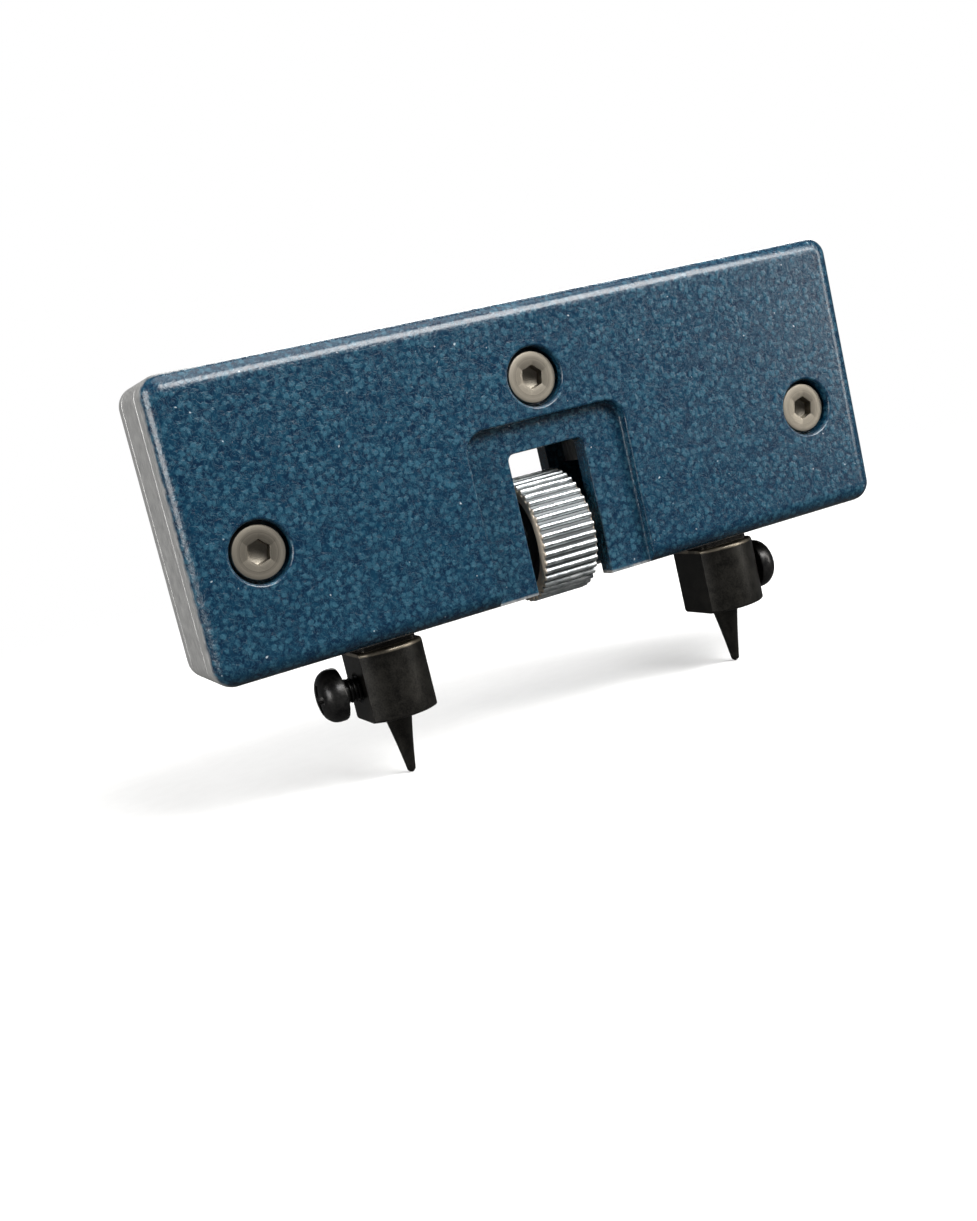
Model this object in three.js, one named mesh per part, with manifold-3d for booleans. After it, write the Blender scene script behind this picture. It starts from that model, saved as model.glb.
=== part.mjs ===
// Case back opener: a hand-held two-pin opener for watch case backs.
//
// A painted front and rear cover clamp a bare centre frame. A thumb wheel in the middle turns a lead
// screw whose left half is threaded left-handed and whose right half is threaded right-handed, so the
// two jaws below the body close on the wheel or part from it together. Each jaw holds a taper pin, its
// tip, and a clamp screw from the side holds the tip.
//
// Millimetres. X runs along the body, the front cover faces -Y, Z is up, and the tips end at z = 0.

import * as THREE from 'three';
import { mergeVertices } from 'three/addons/utils/BufferGeometryUtils.js';
import Module from 'manifold-3d';

const wasm = await Module();
wasm.setup();

// Driving dimensions.
const BODY_WIDTH = 90;
const BODY_HEIGHT = 34.4;
const BODY_DEPTH = 16;
const COVER_THICKNESS = 4;
const SEAM_GAP = 0.1;
const CORNER_RADIUS = 2.4;
const EDGE_FILLET = 1.6;
const TIP_DROP = 17;
const FIT_GAP = 0.3;

const RECESS_WIDTH = 21;
const RECESS_HEIGHT = 20.5;
const RECESS_DEPTH = 1.4;
const RECESS_CORNER = 2.4;
const SLOT_WIDTH = 10.2;
const SLOT_HEIGHT = 17;
const SLOT_CORNER = 0.8;

const CHANNEL_LENGTH = 68;
const CHANNEL_HEIGHT = 14;
const WHEEL_BAY_WIDTH = 15;
const WHEEL_BAY_HEIGHT = 18.4;

const SCREW_HEIGHT = 6.2;
const SCREW_RADIUS = 2.5;
const JOURNAL_RADIUS = 1.6;
const JOURNAL_LENGTH = 6.4;
const BUSH_WALL = 0.9;
const BUSH_LENGTH = 6;
const BUSH_FLANGE_RADIUS = 3.6;
const BUSH_FLANGE = 0.8;
const WASHER_THICKNESS = 0.6;
const WASHER_RADIUS = 3.4;

const WHEEL_RADIUS = 7.68;
const WHEEL_WIDTH = 7.4;
const RIDGE_COUNT = 42;
const RIDGE_DEPTH = 0.42;
const RIDGE_LENGTH = 6.8;
const WHEEL_RIM = 1.3;
const WHEEL_DISH = 1.1;
const WHEEL_HUB_RADIUS = 4;

const JAW_SPACING = 47.4;
const JAW_WIDTH = 8;
const JAW_TOP = 13.4;
const JAW_FOOT = 0.6;
const NECK_WIDTH = 7;
const NECK_DEPTH = 6.6;
const COLLAR_RADIUS = 5.2;
const COLLAR_TOP = -1;
const COLLAR_BOTTOM = -9.4;

const TIP_RADIUS = 1.7;
const TIP_POINT_RADIUS = 0.55;
const TIP_SHANK_TOP = -4;
const TIP_BORE_TOP = 0.8;
const TIP_TAPER_TOP = -9.7;

const CLAMP_HEIGHT = -5.3;
const CLAMP_THREAD_RADIUS = 1.5;
const CLAMP_THREAD_LENGTH = 3;
const CLAMP_HEAD_RADIUS = 3.2;
const CLAMP_HEAD_HEIGHT = 2.8;
const CLAMP_HEAD_RIM = 1.2;
const CLAMP_GAP_TIGHT = 1;
const CLAMP_GAP_LOOSE = 2.2;
const CROSS_WIDTH = 0.94;
const CROSS_SPAN = 3.4;
const CROSS_DEPTH = 1.4;

const SIDE_SCREW_X = 36.8;
const SIDE_SCREW_Z = 13.6;
const MIDDLE_SCREW_Z = 25.2;
const HEAD_RADIUS = 3.06;
const HEAD_HEIGHT = 2;
const HEAD_SINK = 0.9;
const HEAD_CHAMFER = 0.25;
const COUNTERBORE_RADIUS = 3.5;
const COUNTERBORE_LIP = 0.35;
const SHANK_RADIUS = 1.5;
const SHANK_END = 6.6;
const HEX_ACROSS_FLATS = 2.5;
const HEX_DEPTH = 1.3;
const THREAD_HOLE_END = 7;

const DOWEL_X = 26;
const DOWEL_Z = 27;
const DOWEL_RADIUS = 1.5;
const DOWEL_LENGTH = 12.4;

// Values that follow from them.
const BODY_BASE = TIP_DROP;
const BODY_TOP = BODY_BASE + BODY_HEIGHT;
const HALF_DEPTH = BODY_DEPTH / 2;
const FRAME_HALF_DEPTH = HALF_DEPTH - COVER_THICKNESS;
const CHANNEL_END = CHANNEL_LENGTH / 2;
const AXIS_Z = BODY_BASE + SCREW_HEIGHT;
const BUSH_RADIUS = JOURNAL_RADIUS + FIT_GAP + BUSH_WALL;
const SHOULDER_X = CHANNEL_END - BUSH_FLANGE - WASHER_THICKNESS - 2 * SEAM_GAP;
const OVERCUT = 1;
const ROUND_SEGMENTS = 32;
const SMALL_SEGMENTS = 24;
const CURVE_SEGMENTS = 5;
const FILLET_SEGMENTS = 3;
const DOWEL_SEGMENTS = 16;
const DOME_STEPS = 5;
const POINT_STEPS = 3;

function material(color, roughness, metalness) {
  return new THREE.MeshStandardMaterial({ color, roughness, metalness });
}

const PAINT = material(0x1f4566, 0.38, 0.1);
const BARE_METAL = material(0x9a9a99, 0.45, 0.9);
const ZINC = material(0xc4cbcf, 0.28, 1);
const BLACK_STEEL = material(0x2a2826, 0.42, 0.8);
const SATIN_STEEL = material(0x8b857c, 0.35, 1);
const BRONZE = material(0xa8824a, 0.4, 1);
const BRIGHT_STEEL = material(0xb9bcbe, 0.25, 1);

// A closed solid from a geometry, ready to be joined or cut.
function solid(geometry) {
  const bare = geometry.clone();
  bare.deleteAttribute('normal');
  bare.deleteAttribute('uv');
  const merged = mergeVertices(bare, 1e-4);
  const index = merged.index.array;
  const corners = [];
  for (let i = 0; i < index.length; i += 3) {
    const [a, b, c] = [index[i], index[i + 1], index[i + 2]];
    if (a !== b && b !== c && c !== a) {
      corners.push(a, b, c);
    }
  }
  return new wasm.Manifold(new wasm.Mesh({
    numProp: 3,
    vertProperties: Float32Array.from(merged.attributes.position.array),
    triVerts: Uint32Array.from(corners),
  }));
}

// A geometry from a solid.
function surface(shape) {
  const mesh = shape.getMesh();
  const geometry = new THREE.BufferGeometry();
  geometry.setAttribute('position', new THREE.BufferAttribute(mesh.vertProperties, 3));
  geometry.setIndex(new THREE.BufferAttribute(mesh.triVerts, 1));
  geometry.computeVertexNormals();
  return geometry;
}

// A box between two corners.
function block(low, high) {
  const size = high.map((value, axis) => value - low[axis]);
  const middle = high.map((value, axis) => (value + low[axis]) / 2);
  return solid(new THREE.BoxGeometry(...size).translate(...middle));
}

// A turned solid: profile points are [radius, distance along the axis], starting and ending on the
// axis. It is turned about X, Y or Z through the given centre.
const AXIS_TURN = {
  x: (geometry) => geometry.rotateZ(-Math.PI / 2),
  y: (geometry) => geometry,
  z: (geometry) => geometry.rotateX(Math.PI / 2),
};

function turned(profile, axis, centre, segments = SMALL_SEGMENTS) {
  const points = profile.map(([radius, along]) => new THREE.Vector2(radius, along));
  const geometry = AXIS_TURN[axis](new THREE.LatheGeometry(points, segments));
  return solid(geometry.translate(...centre));
}

// A profile for the left or right end: on the left it runs the other way along the axis.
function sided(profile, side) {
  const placed = profile.map(([radius, along]) => [radius, side * along]);
  return side < 0 ? placed.reverse() : placed;
}

// A plain round bar or hole between two distances along its axis.
function bar(radius, from, to, axis, centre, segments = SMALL_SEGMENTS) {
  return turned([[0, from], [radius, from], [radius, to], [0, to]], axis, centre, segments);
}

// A rectangle with round corners, from its lower left corner, in X and Z.
function roundedRectangle(x, z, width, height, radius) {
  const shape = new THREE.Shape();
  shape.moveTo(x + radius, z);
  shape.lineTo(x + width - radius, z);
  shape.absarc(x + width - radius, z + radius, radius, -Math.PI / 2, 0);
  shape.lineTo(x + width, z + height - radius);
  shape.absarc(x + width - radius, z + height - radius, radius, 0, Math.PI / 2);
  shape.lineTo(x + radius, z + height);
  shape.absarc(x + radius, z + height - radius, radius, Math.PI / 2, Math.PI);
  shape.lineTo(x, z + radius);
  shape.absarc(x + radius, z + radius, radius, Math.PI, 1.5 * Math.PI);
  return shape;
}

// An outline in X and Z made solid between two Y values.
function plate(shape, front, back, options = {}) {
  const geometry = new THREE.ExtrudeGeometry(shape, {
    depth: back - front,
    bevelEnabled: false,
    curveSegments: CURVE_SEGMENTS,
    ...options,
  });
  return solid(geometry.rotateX(Math.PI / 2).translate(0, back, 0));
}

// The whole body's outer form, with its front and rear edges rounded over.
function bodyForm() {
  const outline = roundedRectangle(
    -BODY_WIDTH / 2 + EDGE_FILLET,
    BODY_BASE + EDGE_FILLET,
    BODY_WIDTH - 2 * EDGE_FILLET,
    BODY_HEIGHT - 2 * EDGE_FILLET,
    CORNER_RADIUS - EDGE_FILLET,
  );
  return plate(outline, -HALF_DEPTH + EDGE_FILLET, HALF_DEPTH - EDGE_FILLET, {
    bevelEnabled: true,
    bevelSize: EDGE_FILLET,
    bevelThickness: EDGE_FILLET,
    bevelSegments: FILLET_SEGMENTS,
  });
}

// The slice of the body between two Y values.
function bodySlice(front, back) {
  const reach = BODY_WIDTH;
  return bodyForm().intersect(block([-reach, front, -reach], [reach, back, 2 * reach]));
}

// The opening for the thumb wheel and the shallow thumb recess round it, both run out below the body.
function wheelOpening(outerFace) {
  const outward = Math.sign(outerFace);
  const floor = outerFace - outward * RECESS_DEPTH;
  const beyond = outerFace + outward * OVERCUT;
  const below = BODY_BASE - CORNER_RADIUS;
  const recess = roundedRectangle(
    -RECESS_WIDTH / 2, below, RECESS_WIDTH, RECESS_HEIGHT + CORNER_RADIUS, RECESS_CORNER);
  const slot = roundedRectangle(
    -SLOT_WIDTH / 2, below, SLOT_WIDTH, SLOT_HEIGHT + CORNER_RADIUS, SLOT_CORNER);
  const [near, far] = [Math.min(floor, beyond), Math.max(floor, beyond)];
  const inner = outward * (FRAME_HALF_DEPTH - OVERCUT);
  return plate(recess, near, far).add(plate(slot, Math.min(inner, beyond), Math.max(inner, beyond)));
}

const COVER_SCREWS = [
  { name: 'cover_screw_left', x: -SIDE_SCREW_X, z: BODY_BASE + SIDE_SCREW_Z },
  { name: 'cover_screw_middle', x: 0, z: BODY_BASE + MIDDLE_SCREW_Z },
  { name: 'cover_screw_right', x: SIDE_SCREW_X, z: BODY_BASE + SIDE_SCREW_Z },
];

const SIDES = [
  { name: 'left', side: -1, clampGap: CLAMP_GAP_LOOSE },
  { name: 'right', side: 1, clampGap: CLAMP_GAP_TIGHT },
];

const HEAD_FACE = -HALF_DEPTH + HEAD_SINK;
const HEAD_SEAT = HEAD_FACE + HEAD_HEIGHT;

// The front cover: counterbored for its three screws, with blind holes for the dowels.
function frontCover() {
  let cover = bodySlice(-HALF_DEPTH, -FRAME_HALF_DEPTH - SEAM_GAP).subtract(wheelOpening(-HALF_DEPTH));
  for (const { x, z } of COVER_SCREWS) {
    const lip = COUNTERBORE_RADIUS + COUNTERBORE_LIP;
    const bore = turned([
      [0, -HALF_DEPTH - OVERCUT],
      [lip, -HALF_DEPTH - OVERCUT],
      [lip, -HALF_DEPTH],
      [COUNTERBORE_RADIUS, -HALF_DEPTH + COUNTERBORE_LIP],
      [COUNTERBORE_RADIUS, HEAD_SEAT + FIT_GAP],
      [SHANK_RADIUS + FIT_GAP, HEAD_SEAT + FIT_GAP],
      [SHANK_RADIUS + FIT_GAP, 0],
      [0, 0],
    ], 'y', [x, 0, z], ROUND_SEGMENTS);
    cover = cover.subtract(bore);
  }
  for (const { side } of SIDES) {
    cover = cover.subtract(dowelHole(side));
  }
  return cover;
}

function dowelHole(side) {
  const half = DOWEL_LENGTH / 2 + FIT_GAP;
  return bar(DOWEL_RADIUS + FIT_GAP, -half, half, 'y', [side * DOWEL_X, 0, BODY_BASE + DOWEL_Z]);
}

// The rear cover: closed outside except for the wheel opening, threaded for the cover screws.
function rearCover() {
  let cover = bodySlice(FRAME_HALF_DEPTH + SEAM_GAP, HALF_DEPTH).subtract(wheelOpening(HALF_DEPTH));
  for (const { x, z } of COVER_SCREWS) {
    cover = cover.subtract(bar(SHANK_RADIUS + FIT_GAP, 0, THREAD_HOLE_END, 'y', [x, 0, z]));
  }
  for (const { side } of SIDES) {
    cover = cover.subtract(dowelHole(side));
  }
  return cover;
}

// The centre frame: a bar with two end posts round the channel that the jaws slide in.
function centreFrame() {
  const deep = HALF_DEPTH;
  const channel = block(
    [-CHANNEL_END, -deep, BODY_BASE - OVERCUT],
    [CHANNEL_END, deep, BODY_BASE + CHANNEL_HEIGHT]);
  const wheelBay = block(
    [-WHEEL_BAY_WIDTH / 2, -deep, BODY_BASE],
    [WHEEL_BAY_WIDTH / 2, deep, BODY_BASE + WHEEL_BAY_HEIGHT]);
  let frame = bodySlice(-FRAME_HALF_DEPTH, FRAME_HALF_DEPTH).subtract(channel).subtract(wheelBay);
  for (const { x, z } of COVER_SCREWS) {
    frame = frame.subtract(bar(SHANK_RADIUS + FIT_GAP, -deep, deep, 'y', [x, 0, z]));
  }
  const boreEnd = CHANNEL_END + BUSH_LENGTH + 2 * FIT_GAP;
  for (const { side } of SIDES) {
    const [low, high] = side < 0 ? [-boreEnd, -CHANNEL_END + OVERCUT] : [CHANNEL_END - OVERCUT, boreEnd];
    frame = frame.subtract(bar(BUSH_RADIUS + FIT_GAP, low, high, 'x', [0, 0, AXIS_Z]));
    frame = frame.subtract(dowelHole(side));
  }
  return frame;
}

// The lead screw: one bar with a reduced journal at each end. Its two threads are left off here.
function leadScrew() {
  const end = SHOULDER_X + JOURNAL_LENGTH;
  return turned([
    [0, -end],
    [JOURNAL_RADIUS, -end],
    [JOURNAL_RADIUS, -SHOULDER_X],
    [SCREW_RADIUS, -SHOULDER_X],
    [SCREW_RADIUS, SHOULDER_X],
    [JOURNAL_RADIUS, SHOULDER_X],
    [JOURNAL_RADIUS, end],
    [0, end],
  ], 'x', [0, 0, AXIS_Z]);
}

// The thumb wheel: straight ridges between two smooth rims, dished on both sides round a hub.
function thumbWheel() {
  const ridged = new THREE.Shape();
  const pitch = 2 * Math.PI / RIDGE_COUNT;
  const root = WHEEL_RADIUS - RIDGE_DEPTH;
  const steps = [[root, -0.34], [WHEEL_RADIUS, -0.17], [WHEEL_RADIUS, 0.17], [root, 0.34]];
  for (let ridge = 0; ridge < RIDGE_COUNT; ridge += 1) {
    for (const [radius, offset] of steps) {
      const angle = (ridge + offset) * pitch;
      const place = [radius * Math.cos(angle), radius * Math.sin(angle)];
      if (ridge === 0 && offset === steps[0][1]) {
        ridged.moveTo(...place);
      } else {
        ridged.lineTo(...place);
      }
    }
  }
  ridged.closePath();
  const band = new THREE.ExtrudeGeometry(ridged, { depth: RIDGE_LENGTH, bevelEnabled: false });
  const grip = solid(band.translate(0, 0, -RIDGE_LENGTH / 2).rotateY(Math.PI / 2).translate(0, 0, AXIS_Z));
  const half = WHEEL_WIDTH / 2;
  const rimRadius = root;
  const dishRadius = rimRadius - WHEEL_RIM;
  const side = [
    [0, half],
    [WHEEL_HUB_RADIUS, half],
    [WHEEL_HUB_RADIUS, half - WHEEL_DISH],
    [dishRadius, half - WHEEL_DISH],
    [dishRadius, half],
    [rimRadius, half],
  ];
  const outline = [...sided(side, -1).reverse(), ...side.slice().reverse()];
  const core = turned(outline, 'x', [0, 0, AXIS_Z], ROUND_SEGMENTS);
  const bore = bar(SCREW_RADIUS + FIT_GAP, -half - OVERCUT, half + OVERCUT, 'x', [0, 0, AXIS_Z]);
  return grip.add(core).subtract(bore);
}

// A flanged bush for one end of the lead screw, its flange in the channel.
function bearingBush(side) {
  const inner = JOURNAL_RADIUS + FIT_GAP;
  const face = CHANNEL_END - SEAM_GAP;
  const flangeFace = face - BUSH_FLANGE;
  const end = CHANNEL_END + BUSH_LENGTH;
  const outside = turned(sided([
    [0, flangeFace],
    [BUSH_FLANGE_RADIUS, flangeFace],
    [BUSH_FLANGE_RADIUS, face],
    [BUSH_RADIUS, face],
    [BUSH_RADIUS, end],
    [0, end],
  ], side), 'x', [0, 0, AXIS_Z]);
  return outside.subtract(bar(inner, -BODY_WIDTH, BODY_WIDTH, 'x', [0, 0, AXIS_Z]));
}

function thrustWasher(side) {
  const inside = SHOULDER_X + SEAM_GAP / 2;
  const ends = [side * inside, side * (inside + WASHER_THICKNESS)];
  const [low, high] = [Math.min(...ends), Math.max(...ends)];
  const disc = bar(WASHER_RADIUS, low, high, 'x', [0, 0, AXIS_Z]);
  return disc.subtract(bar(JOURNAL_RADIUS + FIT_GAP, -BODY_WIDTH, BODY_WIDTH, 'x', [0, 0, AXIS_Z]));
}

// A jaw: a block on the lead screw, a neck through the open channel, and a collar with two flats.
function jaw(side) {
  const x = side * JAW_SPACING / 2;
  const depth = FRAME_HALF_DEPTH - FIT_GAP;
  const half = JAW_WIDTH / 2;
  const nut = block(
    [x - half, -depth, BODY_BASE + JAW_FOOT],
    [x + half, depth, BODY_BASE + JAW_TOP]);
  const neck = block(
    [x - NECK_WIDTH / 2, -NECK_DEPTH / 2, BODY_BASE + COLLAR_TOP - OVERCUT],
    [x + NECK_WIDTH / 2, NECK_DEPTH / 2, BODY_BASE + JAW_FOOT + OVERCUT]);
  const flats = block(
    [x - half, -COLLAR_RADIUS - OVERCUT, BODY_BASE + COLLAR_BOTTOM - OVERCUT],
    [x + half, COLLAR_RADIUS + OVERCUT, BODY_BASE]);
  const collar = bar(
    COLLAR_RADIUS, COLLAR_BOTTOM, COLLAR_TOP, 'z', [x, 0, BODY_BASE], ROUND_SEGMENTS).intersect(flats);
  const screwHole = bar(SCREW_RADIUS + FIT_GAP, x - JAW_WIDTH, x + JAW_WIDTH, 'x', [0, 0, AXIS_Z]);
  const tipBore = bar(
    TIP_RADIUS + FIT_GAP, COLLAR_BOTTOM - OVERCUT, TIP_BORE_TOP, 'z', [x, 0, BODY_BASE]);
  const clampEnds = [x, x + side * JAW_WIDTH];
  const clampHole = bar(
    CLAMP_THREAD_RADIUS + FIT_GAP / 2, Math.min(...clampEnds), Math.max(...clampEnds), 'x',
    [0, 0, BODY_BASE + CLAMP_HEIGHT]);
  return nut.add(neck).add(collar).subtract(screwHole).subtract(tipBore).subtract(clampHole);
}

// A tip: a straight shank in the collar's bore and a taper with a blunt round point.
function tip(side) {
  const profile = [[0, TIP_SHANK_TOP], [TIP_RADIUS, TIP_SHANK_TOP], [TIP_RADIUS, TIP_TAPER_TOP]];
  for (let step = 0; step <= POINT_STEPS; step += 1) {
    const angle = (Math.PI / 2) * (step / POINT_STEPS);
    profile.push([
      TIP_POINT_RADIUS * Math.cos(angle),
      -TIP_DROP + TIP_POINT_RADIUS * (1 - Math.sin(angle)),
    ]);
  }
  profile[profile.length - 1][0] = 0;
  return turned(profile.reverse(), 'z', [side * JAW_SPACING / 2, 0, BODY_BASE]);
}

// A clamp screw: a short threaded shank and a domed head with a cross recess.
function clampScrew(side, gap) {
  const seat = JAW_SPACING / 2 + JAW_WIDTH / 2 + gap;
  const crown = CLAMP_HEAD_HEIGHT - CLAMP_HEAD_RIM;
  const profile = [
    [0, seat - CLAMP_THREAD_LENGTH],
    [CLAMP_THREAD_RADIUS, seat - CLAMP_THREAD_LENGTH],
    [CLAMP_THREAD_RADIUS, seat],
    [CLAMP_HEAD_RADIUS, seat],
  ];
  for (let step = 0; step < DOME_STEPS; step += 1) {
    const angle = (Math.PI / 2) * (step / DOME_STEPS);
    profile.push([
      CLAMP_HEAD_RADIUS * Math.cos(angle) ** 0.6,
      seat + CLAMP_HEAD_RIM + crown * Math.sin(angle),
    ]);
  }
  profile.push([0, seat + CLAMP_HEAD_HEIGHT]);
  const z = BODY_BASE + CLAMP_HEIGHT;
  const body = turned(sided(profile, side), 'x', [0, 0, z]);
  const floor = side * (seat + CLAMP_HEAD_HEIGHT - CROSS_DEPTH);
  const beyond = side * (seat + CLAMP_HEAD_HEIGHT + OVERCUT);
  const [low, high] = [Math.min(floor, beyond), Math.max(floor, beyond)];
  const narrow = CROSS_WIDTH / 2;
  const long = CROSS_SPAN / 2;
  const upright = block([low, -narrow, z - long], [high, narrow, z + long]);
  const level = block([low, -long, z - narrow], [high, long, z + narrow]);
  return body.subtract(upright.add(level));
}

// A cover screw: a low flat head with a hexagon socket, its shank through the frame.
function coverScrew(x, z) {
  const body = turned([
    [0, HEAD_FACE],
    [HEAD_RADIUS - HEAD_CHAMFER, HEAD_FACE],
    [HEAD_RADIUS, HEAD_FACE + HEAD_CHAMFER],
    [HEAD_RADIUS, HEAD_SEAT],
    [SHANK_RADIUS, HEAD_SEAT],
    [SHANK_RADIUS, SHANK_END],
    [0, SHANK_END],
  ], 'y', [x, 0, z]);
  const hexRadius = HEX_ACROSS_FLATS / Math.sqrt(3);
  const socket = bar(hexRadius, HEAD_FACE - OVERCUT, HEAD_FACE + HEX_DEPTH, 'y', [x, 0, z], 6);
  return body.subtract(socket);
}

function dowelPin(side) {
  const half = DOWEL_LENGTH / 2;
  return bar(DOWEL_RADIUS, -half, half, 'y', [side * DOWEL_X, 0, BODY_BASE + DOWEL_Z], DOWEL_SEGMENTS);
}

const group = new THREE.Group();

function addPiece(name, shape, finish) {
  const mesh = new THREE.Mesh(surface(shape), finish);
  mesh.name = name;
  group.add(mesh);
}

addPiece('front_cover', frontCover(), PAINT);
addPiece('centre_frame', centreFrame(), BARE_METAL);
addPiece('rear_cover', rearCover(), PAINT);
addPiece('lead_screw', leadScrew(), BRIGHT_STEEL);
addPiece('thumb_wheel', thumbWheel(), ZINC);
for (const { name, side, clampGap } of SIDES) {
  addPiece(`bearing_bush_${name}`, bearingBush(side), BRONZE);
  addPiece(`thrust_washer_${name}`, thrustWasher(side), BRIGHT_STEEL);
  addPiece(`jaw_${name}`, jaw(side), BLACK_STEEL);
  addPiece(`tip_${name}`, tip(side), BLACK_STEEL);
  addPiece(`clamp_screw_${name}`, clampScrew(side, clampGap), BLACK_STEEL);
  addPiece(`dowel_pin_${name}`, dowelPin(side), BRIGHT_STEEL);
}
for (const { name, x, z } of COVER_SCREWS) {
  addPiece(name, coverScrew(x, z), SATIN_STEEL);
}

export default group;
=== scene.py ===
"""Case back opener: the looks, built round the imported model.

Laid out as an add-on and run as a script. Lengths inside the functions are millimetres, and the
helpers that make meshes turn them into metres.
"""

import math
from functools import partial
from types import SimpleNamespace

import bpy
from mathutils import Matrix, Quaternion, Vector


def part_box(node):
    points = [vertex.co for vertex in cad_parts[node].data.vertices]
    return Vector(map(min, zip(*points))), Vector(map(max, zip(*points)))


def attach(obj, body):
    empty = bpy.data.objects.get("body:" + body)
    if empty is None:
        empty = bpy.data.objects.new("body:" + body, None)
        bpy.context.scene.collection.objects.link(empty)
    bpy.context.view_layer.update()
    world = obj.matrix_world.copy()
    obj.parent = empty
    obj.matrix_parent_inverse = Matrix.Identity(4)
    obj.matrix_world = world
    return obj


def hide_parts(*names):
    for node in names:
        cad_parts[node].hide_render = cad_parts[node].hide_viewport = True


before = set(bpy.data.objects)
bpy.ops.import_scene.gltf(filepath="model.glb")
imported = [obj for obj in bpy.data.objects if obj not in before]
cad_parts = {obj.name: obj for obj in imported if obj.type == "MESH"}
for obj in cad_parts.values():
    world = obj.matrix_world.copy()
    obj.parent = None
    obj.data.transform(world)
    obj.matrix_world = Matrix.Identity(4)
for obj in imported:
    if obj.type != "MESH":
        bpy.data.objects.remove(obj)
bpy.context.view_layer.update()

bl_info = {
    "name": "Case Back Opener",
    "version": (1, 0, 0),
    "blender": (4, 5, 0),
    "location": "View3D > Sidebar > Case Opener",
    "description": "Builds a thumb-wheel case back opener with painted covers and tipped jaws",
    "category": "Object",
}

MM = 0.001
LEFT_AND_RIGHT = (("left", -1), ("right", 1))
COVER_SCREW_NAMES = ("cover_screw_left", "cover_screw_middle", "cover_screw_right")


# ---------------------------------------------------------------- places taken from the frame

def node_box(name):
    """A CAD node's lowest and highest corner, in millimetres."""
    low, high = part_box(name)
    return low / MM, high / MM


def node_middle(name):
    low, high = node_box(name)
    return (low + high) / 2


def measured(name):
    """A CAD node's lowest corner, highest corner and middle."""
    return (*node_box(name), node_middle(name))


BODY_LOW = node_box("front_cover")[0]
BODY_HIGH = node_box("rear_cover")[1]
AXIS_Z = node_middle("lead_screw").z


# ---------------------------------------------------------------- properties

def length(label, millimetres, about):
    return bpy.props.FloatProperty(name=label, description=about, default=millimetres * MM, min=0.0,
                                   precision=5, unit="LENGTH")


def tint(label, red, green, blue, about):
    return bpy.props.FloatVectorProperty(name=label, description=about, default=(red, green, blue), size=3,
                                         min=0.0, max=1.0, subtype="COLOR")


class OpenerSizes(bpy.types.PropertyGroup):
    """Sizes of the tool's details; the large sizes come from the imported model."""
    corner_radius: length("Corner radius", 2.4, "Radius of the body's four corners seen from the front")
    edge_fillet: length("Edge fillet", 2.1, "Fillet round a cover's outer face")
    seam_chamfer: length("Seam chamfer", 0.06, "Hair-line chamfer where the covers meet the bar")
    recess_width: length("Recess width", 21.0, "Width of the thumb recess")
    recess_height: length("Recess height", 20.5, "Height of the thumb recess above the body's base")
    recess_depth: length("Recess depth", 1.4, "Depth of the thumb recess")
    recess_corner: length("Recess corner", 2.4, "Radius of the thumb recess's upper corners")
    recess_lip: length("Recess lip", 0.35, "Rounding of the thumb recess's rim")
    floor_fillet: length("Floor fillet", 0.4, "Fillet round the thumb recess's floor")
    slot_width: length("Slot width", 10.2, "Width of the slot the wheel shows through")
    slot_height: length("Slot height", 17.0, "Height of the slot above the body's base")
    slot_corner: length("Slot corner", 0.8, "Radius of the slot's upper corners")
    counterbore_radius: length("Counterbore radius", 3.5, "Radius of the counterbores for the cover screws")
    counterbore_lip: length("Counterbore lip", 0.35, "Rounding of a counterbore's rim")
    screw_head_height: length("Screw head height", 2.0, "Height of a cover screw's head")
    hex_across_flats: length("Hexagon width", 2.5, "Width across the flats of a cover screw's socket")
    hex_depth: length("Hexagon depth", 1.3, "Depth of a cover screw's socket")
    hex_turn: bpy.props.FloatProperty(name="Hexagon turn", description="Turn of the sockets in degrees",
                                      default=12.0)
    channel_length: length("Channel length", 68.0, "Length of the channel the jaws slide in")
    channel_height: length("Channel height", 14.0, "Height of the channel above the body's base")
    bay_width: length("Bay width", 15.0, "Width of the bay round the wheel")
    bay_height: length("Bay height", 18.4, "Height of the bay above the body's base")
    ridge_count: bpy.props.IntProperty(name="Ridge count", description="Ridges round the wheel", default=42,
                                       min=12, max=96)
    ridge_depth: length("Ridge depth", 0.42, "Height of a ridge on the wheel")
    wheel_rim: length("Wheel rim", 1.3, "Width of the flat rim on the wheel's sides")
    wheel_dish: length("Wheel dish", 1.1, "Depth of the dish in the wheel's sides")
    wheel_hub: length("Wheel hub", 4.0, "Radius of the wheel's hub")
    journal_length: length("Journal length", 6.4, "Length of the plain journals of the lead screw")
    thread_depth: length("Thread depth", 0.5, "Depth of the lead screw's thread")
    thread_pitch: length("Thread pitch", 0.8, "Pitch of the lead screw's two threads")
    collar_gap: length("Collar gap", 1.0, "Gap between the body's base and the collars of the jaws")
    collar_ease: length("Collar ease", 0.35, "Easing of a collar's top and bottom edges")
    tip_point_radius: length("Tip point radius", 0.55, "Radius of a tip's blunt point")
    clamp_head_height: length("Clamp head height", 2.8, "Height of a clamp screw's domed head")
    clamp_head_rim: length("Clamp head rim", 1.2, "Height of the upright rim of a clamp screw's head")
    clamp_pitch: length("Clamp pitch", 0.5, "Pitch of a clamp screw's thread")
    pebble_size: length("Pebble size", 0.75, "Size of the paint's hammer-tone pebbles")


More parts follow.
